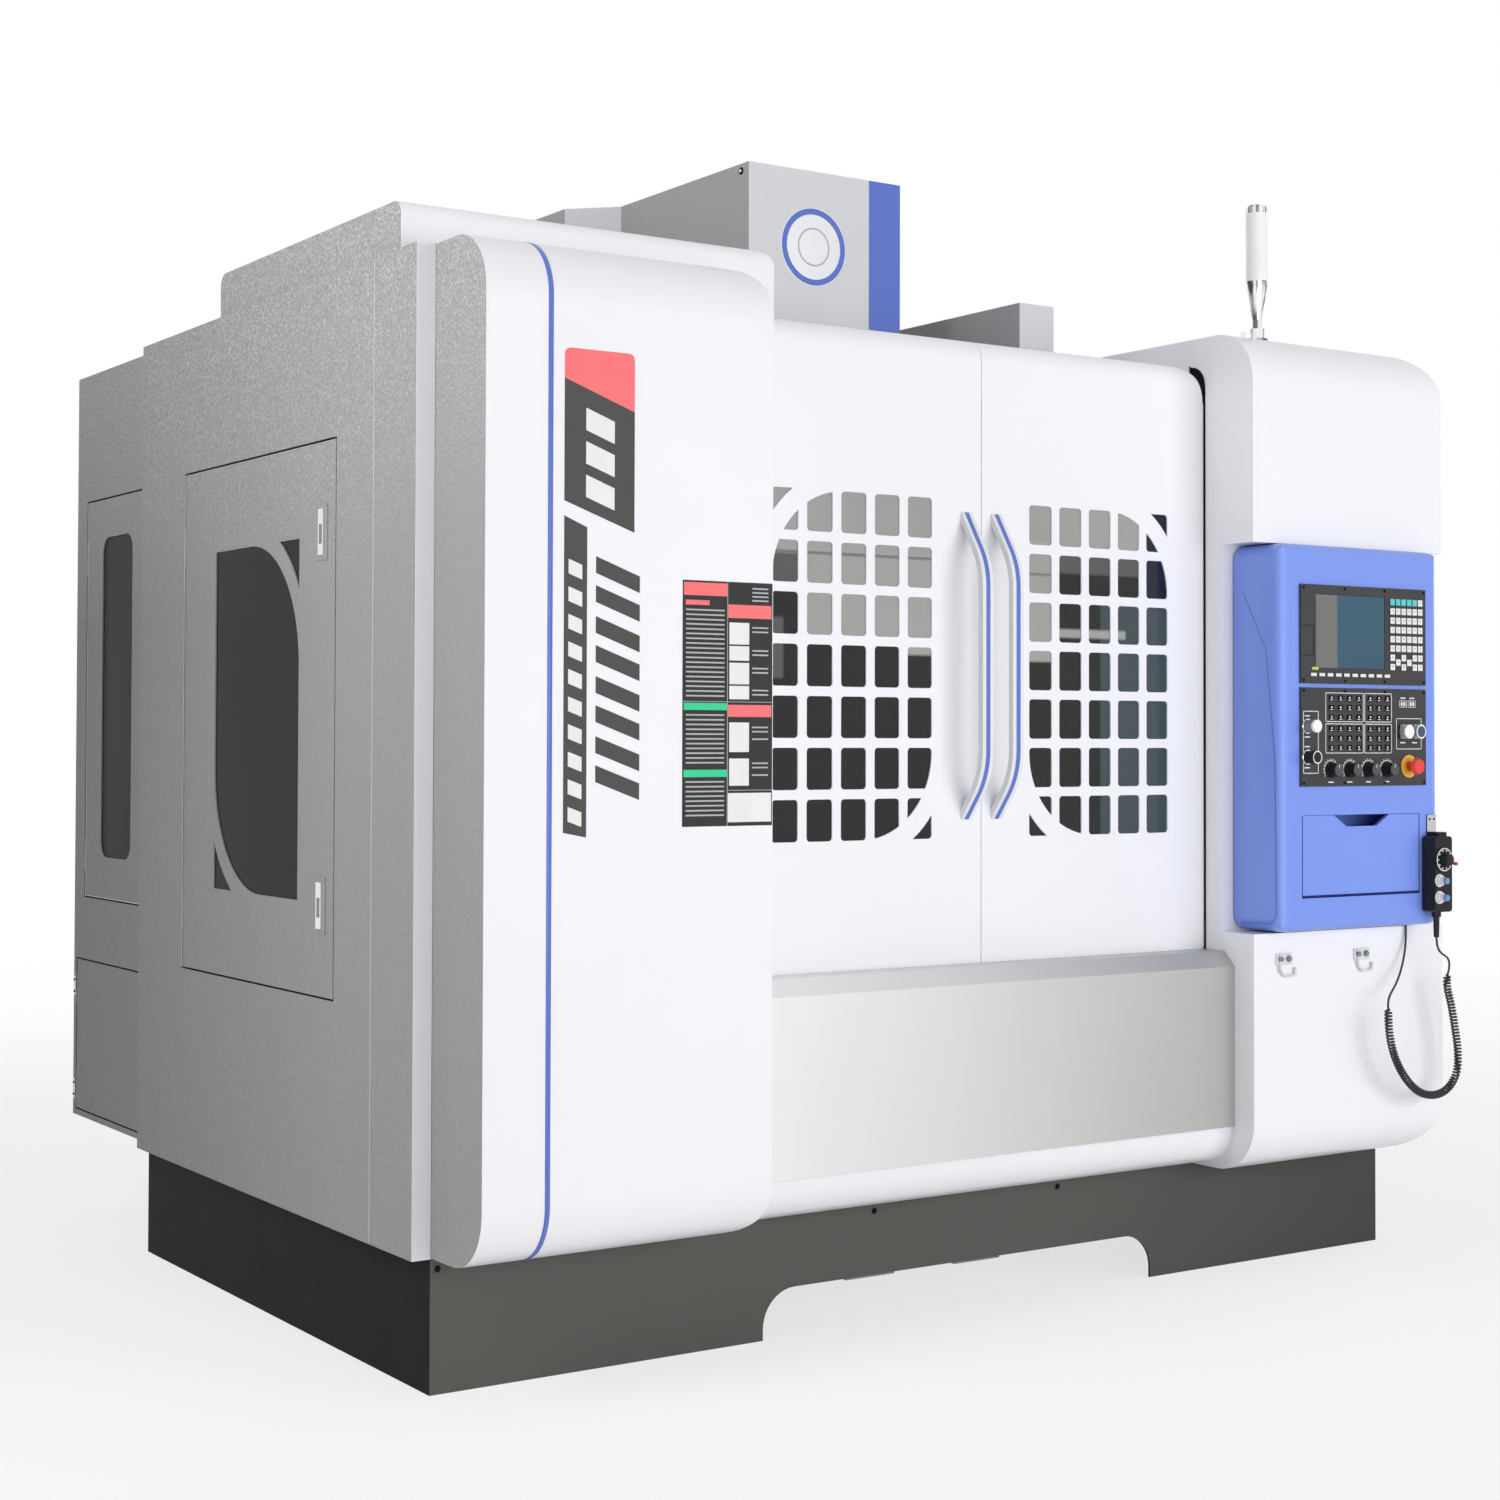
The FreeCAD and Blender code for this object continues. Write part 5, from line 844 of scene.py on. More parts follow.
ring_plate("badge_ring", BADGE_CENTRE, (0.074, 0.0875), hood_low.y - 0.0020, 0.0006,
           "deep_blue", "machine", 72)
ring_plate("badge_inner_ring", BADGE_CENTRE, (0.040, 0.044), hood_low.y - 0.0020, 0.0006,
           "mark_grey", "machine", 64)

# colour fields on the left cover, in metres
FIELD_LEFT, FIELD_RIGHT = -1.077, -0.932
LOW_RIGHT = -1.030
RED_TOP, RED_CORNER, RED_ROUND = 1.877, 1.8, 0.014
RED_SLANT = (1.8225, 1.7712)
DARK_BOTTOM = (1.6036, 1.5529)
LOW_TOP, LOW_BOTTOM = (1.5769, 1.5578), (1.013, 1.004)
LEAN = -0.36
PRINT_DEPTH = 0.0005
PRINT_ON_PRINT = PRINT_DEPTH + 0.0003


def soft_corner(before, corner, after, reach=RED_ROUND, steps=5):
    """Points that round the corner between two straight edges."""
    before, corner, after = Vector(before), Vector(corner), Vector(after)
    start = corner + (before - corner).normalized() * reach
    end = corner + (after - corner).normalized() * reach
    parts = [index / steps for index in range(steps + 1)]
    return [tuple(start.lerp(corner, part).lerp(corner.lerp(end, part), part))
            for part in parts]


def field(name, points, finish):
    plates(name, [points], (COVER_FACE - SKIN, COVER_FACE - SKIN - PRINT_DEPTH), finish)


def slanted(right, tops, bottoms):
    """Corners of a field whose upper and lower edges slant."""
    return [(FIELD_LEFT, tops[0]), (right, tops[1]), (right, bottoms[1]),
            (FIELD_LEFT, bottoms[0])]


def leaning_bars(name, left, right, tops, height, finish, depth):
    """Plain bars, one under another, whose ends lean like the edges of the fields."""
    lean = LEAN * (right - left)
    plates(name, [[(left, top), (right, top + lean), (right, top + lean - height),
                   (left, top - height)] for top in tops],
           (COVER_FACE - SKIN, COVER_FACE - depth), finish)


field("decal_red_field",
      soft_corner((FIELD_LEFT, RED_CORNER), (FIELD_LEFT, RED_TOP), (FIELD_RIGHT, RED_TOP))
      + soft_corner((FIELD_LEFT, RED_TOP), (FIELD_RIGHT, RED_TOP), (FIELD_RIGHT, RED_CORNER))
      + [(FIELD_RIGHT, RED_SLANT[1]), (FIELD_LEFT, RED_SLANT[0])], "decal_red")
field("decal_dark_field", slanted(FIELD_RIGHT, RED_SLANT, DARK_BOTTOM), "decal_charcoal")
field("decal_low_field", slanted(LOW_RIGHT, LOW_TOP, LOW_BOTTOM), "decal_charcoal")
leaning_bars("white_field_bars", -1.033, -0.974, [1.772, 1.712, 1.652], 0.040, "mark_white",
             PRINT_ON_PRINT)
leaning_bars("white_low_bars", -1.068, -1.040, [1.500 - 0.049 * index for index in range(10)],
             0.026, "mark_white", PRINT_ON_PRINT)
leaning_bars("charcoal_bars", -1.0115, -0.920,
             [1.507 - 0.1075 * row - 0.052 * half for row in range(4) for half in (0, 1)],
             0.030, "decal_charcoal", PRINT_DEPTH)

# the notice plate: dark fields with coloured headers, pale blocks and grey lines
PLATE_LEFT, PLATE_MIDDLE, PLATE_RIGHT = -0.8283, -0.7300, -0.6295
PLATE_BOTTOM, PLATE_TOP = 1.019, 1.472
PLATE_EDGE = 0.0025
PLATE_LEVEL = COVER_FACE - 0.0007
LINE_HEIGHT = 0.0028
LINE_PITCH = 0.0088
LINES_TOP, LINES = 1.418, 44
HEADER_GAPS = ((1.228, 1.254), (1.105, 1.129))
LONG_LINE_X, SHORT_LINE_X = -0.779, -0.657
left_column = (PLATE_LEFT + PLATE_EDGE, PLATE_MIDDLE - PLATE_EDGE / 2)
right_column = (PLATE_MIDDLE + PLATE_EDGE / 2, PLATE_RIGHT - PLATE_EDGE)
block = (PLATE_MIDDLE + 0.004, PLATE_MIDDLE + 0.048)


def plate_fields(name, fields, finish, depth=0.0009):
    """Flat fields on the notice plate, from (left, right, bottom, top) in metres."""
    slabs(name, [((left, COVER_FACE - depth, low), (right, COVER_FACE - depth + 0.0002, high))
                 for left, right, low, high in fields], finish)


slabs("notice_plate", [on_front(PLATE_LEFT, PLATE_RIGHT, PLATE_BOTTOM, PLATE_TOP, COVER_FACE,
                                0.0006)], "plate_dark", edge=FINE_EDGE)
plate_fields("plate_red_headers", [(*left_column, 1.4445, 1.4685),
                                   (-0.822, -0.770, 1.427, 1.436),
                                   (*right_column, 1.405, 1.430),
                                   (*right_column, 1.2214, 1.2437)], "decal_red")
plate_fields("plate_green_headers", [(*left_column, 1.2335, 1.2465),
                                     (*left_column, 1.110, 1.1235)], "decal_green")
plate_fields("plate_pale_blocks",
             [(*block, low, high) for low, high in (
                 (1.356, 1.3966), (1.326, 1.353), (1.282, 1.322), (1.254, 1.279),
                 (1.156, 1.211), (1.0935, 1.144))] + [(*right_column, 1.026, 1.080)],
             "mark_white")
plate_fields("plate_rules", [(PLATE_MIDDLE - 0.0006, PLATE_MIDDLE + 0.0006, PLATE_BOTTOM,
                              PLATE_TOP), (PLATE_LEFT, PLATE_RIGHT, 1.2487, 1.2497),
                             (PLATE_MIDDLE, PLATE_RIGHT, 1.0845, 1.0855)], "mark_grey", 0.0008)
line_levels = [LINES_TOP - LINE_PITCH * index for index in range(LINES)]
marks("plate_long_lines", [(LONG_LINE_X, z) for z in line_levels
                           if not any(low < z < high for low, high in HEADER_GAPS)],
      PLATE_LEVEL, (0.084, 0.0003, LINE_HEIGHT), "mark_grey", "machine")
short_levels = [1.388, 1.380, 1.345, 1.337, 1.312, 1.304, 1.271, 1.263, 1.202, 1.194, 1.180,
                1.135, 1.127, 1.113] + [1.461 - 0.0075 * index for index in range(4)]
marks("plate_short_lines", [(SHORT_LINE_X, z) for z in short_levels], PLATE_LEVEL,
      (0.036, 0.0003, LINE_HEIGHT), "mark_grey", "machine")


# ------------------------------------------------------------------ seams, screws, and seals grey with painted gap shade
SEAM_Y, SEAM_HALF, SEAM_INSET = -0.549, 0.0008, 0.004
slabs("side_seam", [on_side(SEAM_Y - SEAM_HALF, SEAM_Y + SEAM_HALF, side_low.z + SEAM_INSET,
                            side_high.z - SEAM_INSET, side_low.x, 0.0004)], "edge_light")
screws("skirt_screws", [(x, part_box("base_skirt")[0].y - 0.0012, 0.2255)
                        for x in (-1.2205, -0.242, 0.245, 1.2205)], 0.0125, 0.003, "-Y")
TOWER_SCREWS = ((-0.182, 2.4535), (-0.182, 2.150))
for number, (side, turn) in enumerate(((-1, "-X"), (1, "+X")), 1):
    pair = [(side * (TOWER_HALF + 0.0006), y, z) for y, z in TOWER_SCREWS]
    screws(f"tower_screws_{number}", pair, 0.017, 0.002, turn)
    screws(f"tower_screw_heads_{number}", [(x + side * 0.001, y, z) for x, y, z in pair],
           0.008, 0.002, turn, "chrome")

# seals on the doors' edges, grey as painted shade in the gaps, and the rounded corner of the
# slot that the right one enters
DOOR_ROUND, SLOT_ROUND = 0.042, 0.0448
DOOR_CORNER = 0.082
door_low, door_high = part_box("right_door")
left_door_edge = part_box("left_door")[1].x
slabs("right_door_seal_gap_shade", [((door_high.x - 0.0004, door_low.y + 0.0010, door_low.z + 0.004),
                                (door_high.x + 0.0042, door_low.y + 0.0150,
                                 door_high.z - DOOR_CORNER))],
      "edge_seal", "right_door", 0.0006)
round_y, round_z = door_low.y + DOOR_ROUND, door_high.z - DOOR_ROUND
slot_y, slot_z = door_low.y - 0.0045, door_high.z + 0.0062
slot_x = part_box("right_column_cover")[0].x + 0.0015
slot_arc = [(round_y - SLOT_ROUND * math.cos(math.radians(angle)),
             round_z + SLOT_ROUND * math.sin(math.radians(angle))) for angle in range(0, 91, 6)]
plates("door_slot_corner", [[(slot_y, round_z), *slot_arc, (round_y, slot_z), (slot_y, slot_z)]],
       (slot_x, slot_x - 0.0012), "white", plane="YZ")
slabs("door_meeting_seal_gap_shade", [((left_door_edge, door_low.y + 0.0008, door_low.z + 0.004),
                             (left_door_edge + 0.0011, door_low.y + 0.0120,
                              door_high.z - DOOR_CORNER))], "seam", "left_door", SOFT_EDGE)
turned("lamp_gland", (0.755, -0.775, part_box("lamp_body")[0].z),
       [(0.0055, 0.0), (0.0055, 0.021), (0.0035, 0.024)], "streaked", "machine", True, 24)

# latches with a plate of painted shade in each hollow, painted highlights on door edges, and
# hinge plates
for latch in ("latch_upper", "latch_lower"):
    low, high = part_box(latch)
    slabs(f"{latch}_recess_shade", [on_side(low.y + 0.0060, high.y - 0.0060, low.z + 0.022,
                                      high.z - 0.030, low.x, 0.0005)], "seam", latch)
    screws(f"{latch}_button", [(low.x - 0.0001, (low.y + high.y) / 2, high.z - 0.014)], 0.011,
           0.0002, "-X", "chrome", latch)
# pale strips on door edges: painted highlights
HIGHLIGHT_WIDTH, EDGE_PROUD = 0.0016, 0.0005
SIDE_DOOR_EDGE, REAR_DOOR_EDGE = 0.4212, 1.2050
low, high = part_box("side_door")
slabs("side_door_edge_highlight", [on_side(SIDE_DOOR_EDGE, SIDE_DOOR_EDGE + HIGHLIGHT_WIDTH, low.z,
                                       high.z, low.x, EDGE_PROUD)], "edge_light", "side_door")
low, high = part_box("rear_upper_door")
slabs("upper_door_edge_highlights",
      [on_side(REAR_DOOR_EDGE, REAR_DOOR_EDGE + HIGHLIGHT_WIDTH, low.z, high.z, low.x, EDGE_PROUD),
       on_side(low.y, REAR_DOOR_EDGE + HIGHLIGHT_WIDTH, low.z, low.z + HIGHLIGHT_WIDTH, low.x,
               EDGE_PROUD)],
      "edge_light", "rear_upper_door")
HINGE_LEVELS, HINGE_HEIGHT = (0.283, 0.538), 0.049
cabinet_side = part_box("rear_cabinet")[0].x
slabs("lower_hinge_plates",
      [on_side(1.2725, 1.2860, level, level + HINGE_HEIGHT, cabinet_side, 0.0016)
       for level in HINGE_LEVELS], "steel", edge=SOFT_EDGE)
screws("lower_hinge_screws", [(cabinet_side - 0.0020, 1.2793, level + rise)
                              for level in HINGE_LEVELS for rise in (0.010, 0.039)], 0.007,
       0.0012, "-X")
bolts = [(centre + offset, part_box("hanger_hooks")[0].y + 0.0040, 0.7035)
         for centre in (0.722, 0.967) for offset in (-0.0125, 0.0125)]
screws("hook_bolts", bolts, 0.015, 0.005, "-Y", "bolt")
screws("hook_bolt_sockets", [(x, y - 0.0026, z) for x, y, z in bolts], 0.007, 0.0012, "-Y")


# ------------------------------------------------------------------ handles
INLAY_HALF, INLAY_PROUD = 0.0052, 0.0006
END_INSET = 0.001


def front_line(node, steps=72):
    """(y, z) points up the middle of a node's front, found by looking at it from ahead."""
    low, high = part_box(node)
    tree = BVHTree.FromObject(nodes[node], bpy.context.evaluated_depsgraph_get())
    points = []
    for index in range(steps + 1):
        z = low.z + END_INSET + (high.z - low.z - 2 * END_INSET) * index / steps
        hit = tree.ray_cast(Vector(((low.x + high.x) / 2, low.y - 1, z)), Vector((0, 1, 0)))[0]
        if hit:
            points.append((hit.y, z))
    return points


for side in ("left", "right"):
    low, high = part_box(f"{side}_handle")
    line = front_line(f"{side}_handle")
    middle = (low.x + high.x) / 2
    strip(f"{side}_handle_inlay", middle - INLAY_HALF, middle + INLAY_HALF,
          [(y - SKIN, z) for y, z in line], [(y - INLAY_PROUD, z) for y, z in line],
          "deep_blue", f"{side}_door")


# ------------------------------------------------------------------ control panels
PANEL_FACE = -0.979
KEY_FACE = PANEL_FACE - 0.0015
OPERATOR_KEY_FACE = PANEL_FACE - 0.0012
KEY_HALF, SOFT_KEY_HALF = (0.0073, 0.0071), (0.00875, 0.0035)
OPERATOR_KEY_HALF = (0.0075, 0.006)
KEY_PROUD, PRINT_PROUD, OUTLINE_PROUD = 0.0006, 0.0003, 0.0004
KEY_PITCH = (18.2, 20.8)
FIRST_KEY = (289, 30.7)
screen_low, screen_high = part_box("screen_module")
operator_low, operator_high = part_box("operator_module")


def on_screen(right_by, down_by):
    return screen_low.x + right_by * MM, screen_high.z - down_by * MM


def on_operator(right_by, down_by):
    return operator_low.x + right_by * MM, operator_high.z - down_by * MM


def tops(name, places, half_x, half_z, face, proud, finish, edge):
    """Small plates centred on (x, z) places of a face."""
    slabs(name, [on_front(x - half_x, x + half_x, z - half_z, z + half_z, face, proud)
                 for x, z in places], finish, "control_box", edge)


def outlined(name, module, rectangles, width):
    """Printed outlines round (left, right, top, bottom) areas of a module, in millimetres."""
    half = width / 2 * MM
    boxes = []
    for left_by, right_by, top_by, low_by in rectangles:
        left, high = module(left_by, top_by)
        right, low = module(right_by, low_by)
        for x0, x1, z0, z1 in ((left, right, high, high), (left, right, low, low),
                               (left, left, low, high), (right, right, low, high)):
            boxes.append(on_front(x0 - half, x1 + half, z0 - half, z1 + half, PANEL_FACE,
                                  OUTLINE_PROUD))
    slabs(name, boxes, "mark_white", "control_box")


def areas(name, module, rectangles, finish, inset=0.0):
    """Flat fields on (left, right, top, bottom) areas of a module, in millimetres."""
    boxes = []
    for left_by, right_by, top_by, low_by in rectangles:
        left, high = module(left_by + inset, top_by + inset)
        right, low = module(right_by - inset, low_by - inset)
        boxes.append(on_front(left, right, low, high, PANEL_FACE, PRINT_PROUD))
    slabs(name, boxes, finish, "control_box")


left, top = on_screen(47, 21)
right, bottom = on_screen(265, 182)
slabs("screen_glass", [((left, PANEL_FACE + 0.0008, bottom), (right, PANEL_FACE + 0.0019, top))],
      "screen", "control_box", SOFT_EDGE)


def screen_key(column, line):
    return on_screen(FIRST_KEY[0] + KEY_PITCH[0] * column, FIRST_KEY[1] + KEY_PITCH[1] * line)


pale_keys = [screen_key(column, line) for line in range(6) for column in range(6)
             if line or column == 5]
pale_keys += [screen_key(column, line) for column, line in (
    (0, 6), (0, 7), (1, 6.5), (2, 6), (2, 7), (3, 6.5), (4, 6), (4, 7), (5, 6), (5, 7))]
tops("teal_keys", [screen_key(column, 0) for column in range(5)], *KEY_HALF, KEY_FACE,
     KEY_PROUD, "teal", FINE_EDGE)
tops("pale_keys", pale_keys, *KEY_HALF, KEY_FACE, KEY_PROUD, "pale", FINE_EDGE)
tops("soft_keys", [on_screen(37.2 + 26 * index, 197) for index in range(10)], *SOFT_KEY_HALF,
     KEY_FACE, KEY_PROUD, "pale", FINE_EDGE)
marks("key_letters", [(x, z + 0.001) for x, z in pale_keys], KEY_FACE - 0.0007,
      (0.005, 0.0002, 0.003), "mark_grey")
tops("status_light", [on_screen(43, 183.5)], 0.010, 0.003, PANEL_FACE, KEY_PROUD, "lime",
     SOFT_EDGE)

outlined("group_outlines", on_operator, [(75.6, 194.5, 11, 74), (199, 286, 11, 74),
                                         (75.6, 194.5, 79, 143), (199, 286, 79, 143),
                                         (6, 52, 52, 187), (302, 384, 66, 134)], 1.6)
operator_keys = [on_operator(right_by, down_by)
                 for right_by in (93, 121.5, 150, 179.4, 216.4, 244.4, 271.7)
                 for down_by in (22.8, 43.9, 65, 89.8, 110.9, 132)]
tops("operator_key_tops", operator_keys, *OPERATOR_KEY_HALF, OPERATOR_KEY_FACE, PRINT_PROUD,
     "key", FINE_EDGE / 2)
symbols = [(x, z + 0.0016) for x, z in operator_keys]
marks("key_symbols", symbols, OPERATOR_KEY_FACE - 0.0004, (0.004, 0.0002, 0.004))
marks("key_bars", [(x, z - 0.0052) for x, z in symbols], OPERATOR_KEY_FACE - 0.0004,
      (0.009, 0.0002, 0.0015))
areas("socket_door_lines", on_screen, ((1, 39, 89.2, 90.4), (1, 39, 154.6, 155.8),
                                       (37.2, 39.2, 90, 155)), "hole")

# dial marks, caps and pointers of the four override knobs
KNOBS = 4
KNOB_FROM, KNOB_PITCH, KNOB_DOWN = 91.5, 59.5, 180
DIAL_START, DIAL_STEP, DIAL_TICKS = 35, 20, 10
TICK_RADIUS = 0.0235
ticks = []
for index in range(KNOBS):
    knob = f"override_knob_{index + 1}"
    centre_x, centre_z = centre = on_operator(KNOB_FROM + KNOB_PITCH * index, KNOB_DOWN)
    knob_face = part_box(knob)[0].y
    ring_plate(f"dial_arc_{index + 1}", centre, (0.0196, 0.0211), PANEL_FACE - OUTLINE_PROUD,
               PRINT_PROUD, "mark_white", "control_box", 32,
               (math.radians(DIAL_START), math.radians(DIAL_START + 180)))
    for tick in range(DIAL_TICKS):
        angle = math.radians(DIAL_START + DIAL_STEP * tick)
        ticks.append((centre_x + TICK_RADIUS * math.cos(angle),
                      centre_z + TICK_RADIUS * math.sin(angle)))
    turned(f"knob_cap_{index + 1}", (centre_x, knob_face, centre_z),
           [(0.0135, 0.0010), (0.0135, -0.0003), (0.0125, -0.0008)], "knob_cap", knob, steps=40)
    slabs(f"knob_pointer_{index + 1}",
          [((centre_x - 0.0007, knob_face - 0.0011, centre_z + 0.004),
            (centre_x + 0.0007, knob_face - 0.0007, centre_z + 0.0125))], "mark_white", knob,
          FINE_EDGE / 2)
marks("dial_ticks", ticks, PANEL_FACE - PRINT_PROUD, (0.0024, PRINT_PROUD, 0.0024))
x, z = on_operator(342, 173)
turned("stop_ring", (x, PANEL_FACE, z), [(0.0255, -0.0001), (0.0255, -0.0022),
                                         (0.0245, -0.0028), (0.013, -0.0028)], "amber",
       "control_box")

READOUTS = ((312, 336, 26, 40), (341, 365, 26, 40))
SCREW_FRACTIONS, SCREW_INSET = (0.018, 0.34, 0.66, 0.982), 0.007
areas("readout_windows", on_operator, READOUTS, "key", 0.8)
outlined("readout_outlines", on_operator, READOUTS, 1.3)
marks("readout_digits", [on_operator(digit_by, (top_by + low_by) / 2)
                         for left_by, right_by, top_by, low_by in READOUTS
                         for digit_by in (left_by + 7.5, right_by - 7.5)],
      PANEL_FACE - 0.0004, (0.0062, 0.0002, 0.0085))
for name, low, high in (("screen", screen_low, screen_high),
                        ("operator", operator_low, operator_high)):
    heads = [(low.x + fraction * (high.x - low.x), PANEL_FACE - 0.0011, level)
             for fraction in SCREW_FRACTIONS
             for level in (low.z + SCREW_INSET, high.z - SCREW_INSET)]
    screws(f"{name}_module_screws", heads, 0.0062, 0.0016, "-Y", "hole", "control_box")
    screws(f"{name}_screw_sockets", [(x, y - 0.0010, z) for x, y, z in heads], 0.0024, 0.0006,
           "-Y", "steel", "control_box")
for number, right_by in enumerate((323, 362), 1):
    ring_plate(f"guard_ring_{number}", on_operator(right_by, 95), (0.0128, 0.0155), -0.9992,
               0.003, "white_plastic", f"guarded_button_{number}", 40)
for name, down_by in (("start", 84.6), ("stop", 152)):
    x, z = on_operator(18, down_by)
    ring_plate(f"{name}_button_rim", (x, z), (0.0118, 0.0140), -1.0092, 0.0008,
               "white_plastic", f"{name}_button", 40)
    turned(f"{name}_button_collar", (x, PANEL_FACE, z),
           [(0.0165, 0.0001), (0.0165, -0.0025), (0.0155, -0.0032), (0.0142, -0.0032)],
           "chrome", "control_box", steps=40)
captions = [(18, down_by) for down_by in (62, 108, 129, 175)]
captions += [(KNOB_FROM + KNOB_PITCH * index, 207) for index in range(KNOBS)]
captions += [(323, 120), (362, 120), (324, 20), (353, 20)]
marks("captions", [on_operator(*place) for place in captions], PANEL_FACE - 0.0002,
      (0.016, 0.0003, 0.0026))

# painted shade in the gap round the tray flap, and along the seam of the control box's left side
GAP, FLAP_GAP, LOWER_GAP = 0.0022, 0.0003, 0.0006
flap_low, flap_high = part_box("tray_flap")
box_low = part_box("control_box")[0]
slabs("tray_gap_shade_lines", [on_front(*area, box_low.y, 0.0004) for area in (
    (flap_low.x - GAP, flap_low.x - FLAP_GAP, flap_low.z - GAP, flap_high.z),
    (flap_high.x + FLAP_GAP, flap_high.x + GAP, flap_low.z - GAP, flap_high.z),
    (flap_low.x - GAP, flap_high.x + GAP, flap_low.z - 2 * GAP, flap_low.z - LOWER_GAP))],
      "gap_blue", "control_box")
SEAM_ROUTE = [Vector(place) for place in (
    (-0.8607, 1.5069), (-0.9295, 1.3771), (-0.9554, 1.1379), (-0.9585, 0.803),
    (-0.9456, 0.7840), (-0.8529, 0.7800))]
seam_runs = []
for start, end in zip(SEAM_ROUTE, SEAM_ROUTE[1:]):
    aside = Vector((end.y - start.y, start.x - end.x)).normalized() * 0.0007
    seam_runs.append([start + aside, end + aside, end - aside, start - aside])
plates("box_side_seam", seam_runs, (box_low.x - SKIN, box_low.x - 0.0003), "seam_blue",
       "control_box", "YZ")

# handwheel pendant: scale, red grip, collars and the steel hook plate
dial_low, dial_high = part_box("pendant_dial")
DIAL_X, DIAL_Z = (dial_low.x + dial_high.x) / 2, (dial_low.z + dial_high.z) / 2
DIAL_FACE = -1.0170
SCALE_RADIUS, SCALE_MARKS = 0.0205, 10
ring_plate("dial_scale_ring", (DIAL_X, DIAL_Z), (0.0240, 0.0262), DIAL_FACE - 0.0004, 0.0004,
           "mark_white", "pendant_dial", 56)
turns = [2 * math.pi * mark / SCALE_MARKS for mark in range(SCALE_MARKS)]
marks("dial_scale_marks", [(DIAL_X + SCALE_RADIUS * math.cos(turn),
                            DIAL_Z + SCALE_RADIUS * math.sin(turn)) for turn in turns],
      DIAL_FACE - 0.0002, (0.0034, 0.0004, 0.0034), body="pendant_dial")
turned("dial_red_grip", (DIAL_X + 0.0195, DIAL_FACE, DIAL_Z - 0.009),
       [(0.0030, 0.0002), (0.0026, -0.010), (0.0040, -0.012), (0.0042, -0.018),
        (0.0030, -0.0198)], "red", "pendant_dial", steps=24)
turned("dial_knob_cap", (DIAL_X, dial_low.y, DIAL_Z),
       [(0.0120, 0.0010), (0.0120, -0.0003), (0.0110, -0.0008)], "black", "pendant_dial",
       steps=40)
for number in (1, 2):
    low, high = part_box(f"pendant_switch_{number}")
    ring_plate(f"switch_collar_{number}", ((low.x + high.x) / 2, (low.z + high.z) / 2),
               (0.0121, 0.0145), -1.0138, 0.0007, "white_plastic", "control_box", 40)
CLIP_LEFT, CLIP_RIGHT, CLIP_TOP = 1.132 - 0.0004, 1.160 + 0.0004, 0.9745
slabs("hook_plate_skin", [((CLIP_LEFT, -0.9769, CLIP_TOP + 0.0003),
                           (CLIP_RIGHT, -0.9761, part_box("pendant_body")[1].z - 0.0004))],
      "steel", "control_box", FINE_EDGE)
slabs("pendant_clip_skin", [((CLIP_LEFT, -1.0074, CLIP_TOP),
                             (CLIP_RIGHT, -0.9770, CLIP_TOP + 0.0006))], "steel",
      "control_box", FINE_EDGE)
screws("hook_plate_screws", [(x, -0.9773, 1.003) for x in (1.139, 1.153)], 0.005, 0.0012,
       "-Y", "hole", "control_box")


# ------------------------------------------------------------------ stage and light
CAMERA_RAY, GLOSSY_RAY, CLEAR_RAY = "Is Camera Ray", "Is Glossy Ray", "Is Transmission Ray"
PLAIN_WHITE = (1, 1, 1, 1)
FLOOR_GREY = (0.80, 0.80, 0.80, 1)
FADE_FROM, FADE_TO = 3.4, 8.0
NEAR_SHARE = 0.72
WORLD_STRENGTH = 0.32
FLOOR_HALF, FLOOR_DEPTH, FLOOR_RISE, WALL_TOP = 40.0, 30.0, 12.0, 40.0
RISE_STEPS = 16

# name, place, target, size, power, and whether gloss mirrors the lamp
LAMPS = (
    ("key", (2.4, -6.8, 1.8), (0.2, -0.8, 1.0), (4.0, 3.0), 186, False),
    ("front_fill", (-1.9, -6.9, 1.1), (-0.3, -0.8, 0.9), (4.0, 2.2), 96, True),
    ("side_fill", (-3.2, -0.95, 2.2), (-1.27, -0.9, 1.6), (0.9, 1.6), 40, False),
    ("top", (0.0, 0.5, 6.5), (0.0, 0.2, 1.5), (4.5, 4.5), 46, False),
    ("back_fill", (0.8, 7.0, 3.0), (0.0, 1.0, 1.2), (4.0, 3.0), 150, False),
    ("right_fill", (6.5, 1.0, 3.0), (1.2, 0.0, 1.2), (3.0, 3.0), 90, False),
)


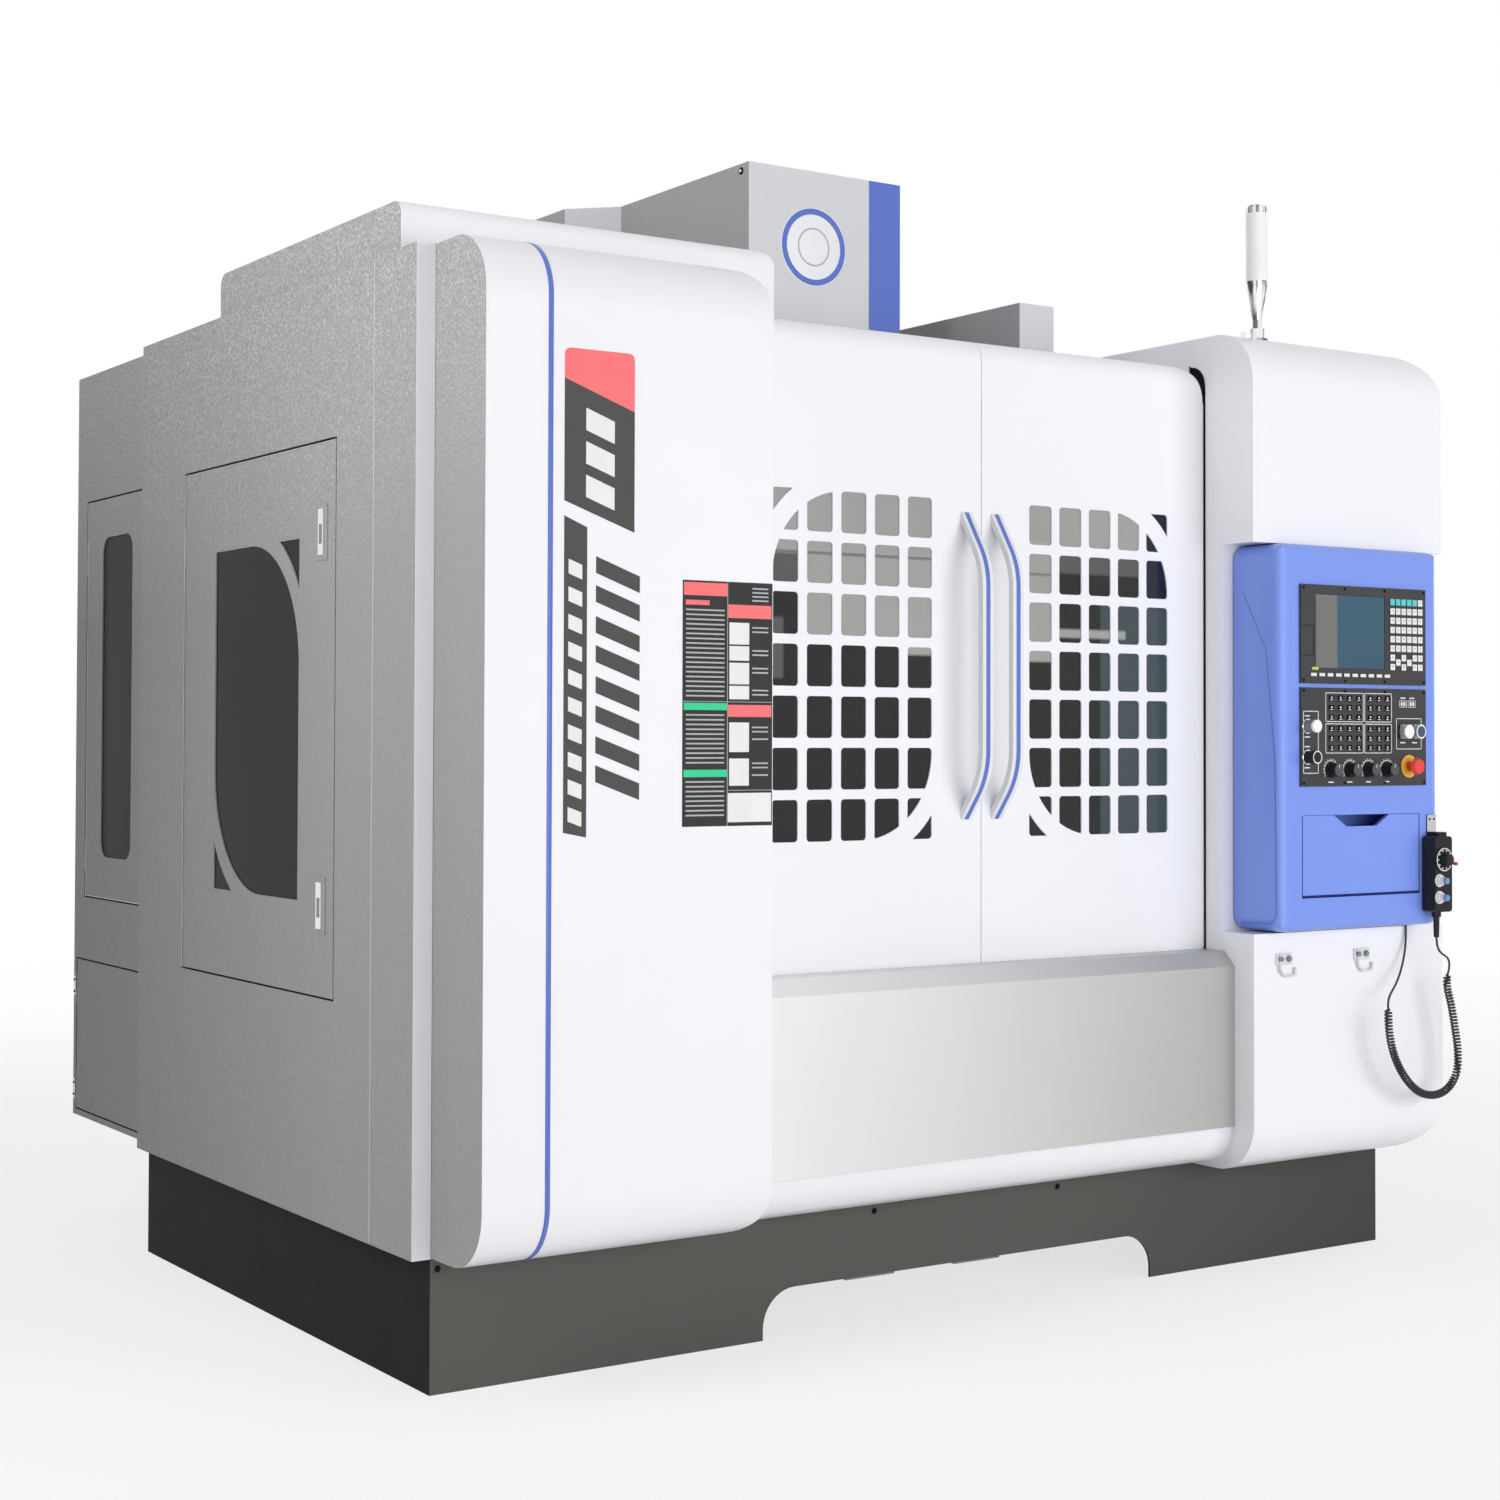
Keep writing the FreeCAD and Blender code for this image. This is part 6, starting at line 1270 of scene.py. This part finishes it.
def stage_surface():
    """Pale floor near the machine that fades to plain white far from it, for the eye only."""
    paint = Paint("stage_white")
    far = paint.clamp(paint.distance_from((0.0, 0.0, 0.0)), FADE_FROM, FADE_TO)
    share = paint.seen_by(CAMERA_RAY, GLOSSY_RAY) * (far * (1 - NEAR_SHARE) + NEAR_SHARE)
    lit = paint.node("ShaderNodeBsdfDiffuse", Color=FLOOR_GREY)
    white = paint.node("ShaderNodeEmission", Color=PLAIN_WHITE, Strength=1.0)
    return paint.split(share, lit, white, "ShaderNodeOutputMaterial")


def make_stage():
    """The floor, which curves up into a wall far behind the machine."""
    mesh = bpy.data.meshes.new("floor")
    line = [(-FLOOR_DEPTH, 0.0)]
    for index in range(RISE_STEPS + 1):
        angle = math.radians(90 * index / RISE_STEPS)
        line.append((FLOOR_DEPTH - FLOOR_RISE + FLOOR_RISE * math.sin(angle),
                     FLOOR_RISE - FLOOR_RISE * math.cos(angle)))
    line.append((FLOOR_DEPTH, WALL_TOP))
    mesh.from_pydata([(x, y, z) for y, z in line for x in (-FLOOR_HALF, FLOOR_HALF)], [],
                     [(2 * i, 2 * i + 1, 2 * i + 3, 2 * i + 2) for i in range(len(line) - 1)])
    for face in mesh.polygons:
        face.use_smooth = True
    mesh.materials.append(stage_surface())
    floor = bpy.data.objects.new("floor", mesh)
    bpy.context.scene.collection.objects.link(floor)


def make_world():
    """Soft light from all round, and plain white where it is seen."""
    world = bpy.data.worlds.new("studio")
    bpy.context.scene.world = world
    paint = Paint("studio", world)
    soft, white = (paint.node("ShaderNodeBackground", Color=PLAIN_WHITE, Strength=strength)
                   for strength in (WORLD_STRENGTH, 1.0))
    paint.split(paint.seen_by(CAMERA_RAY, GLOSSY_RAY, CLEAR_RAY), soft, white,
                "ShaderNodeOutputWorld")


def area_light(name, place, target, size, power, mirrored):
    data = bpy.data.lights.new(name, "AREA")
    data.shape = "RECTANGLE"
    data.size, data.size_y = size
    data.energy = power
    lamp = bpy.data.objects.new(name, data)
    lamp.visible_camera = False
    lamp.visible_glossy = mirrored
    lamp.location = place
    heading = Vector(target) - Vector(place)
    lamp.rotation_euler = heading.to_track_quat("-Z", "Y").to_euler()
    bpy.context.scene.collection.objects.link(lamp)


make_stage()
make_world()
for lamp in LAMPS:
    area_light(*lamp)

bpy.context.scene.view_settings.view_transform = "Standard"
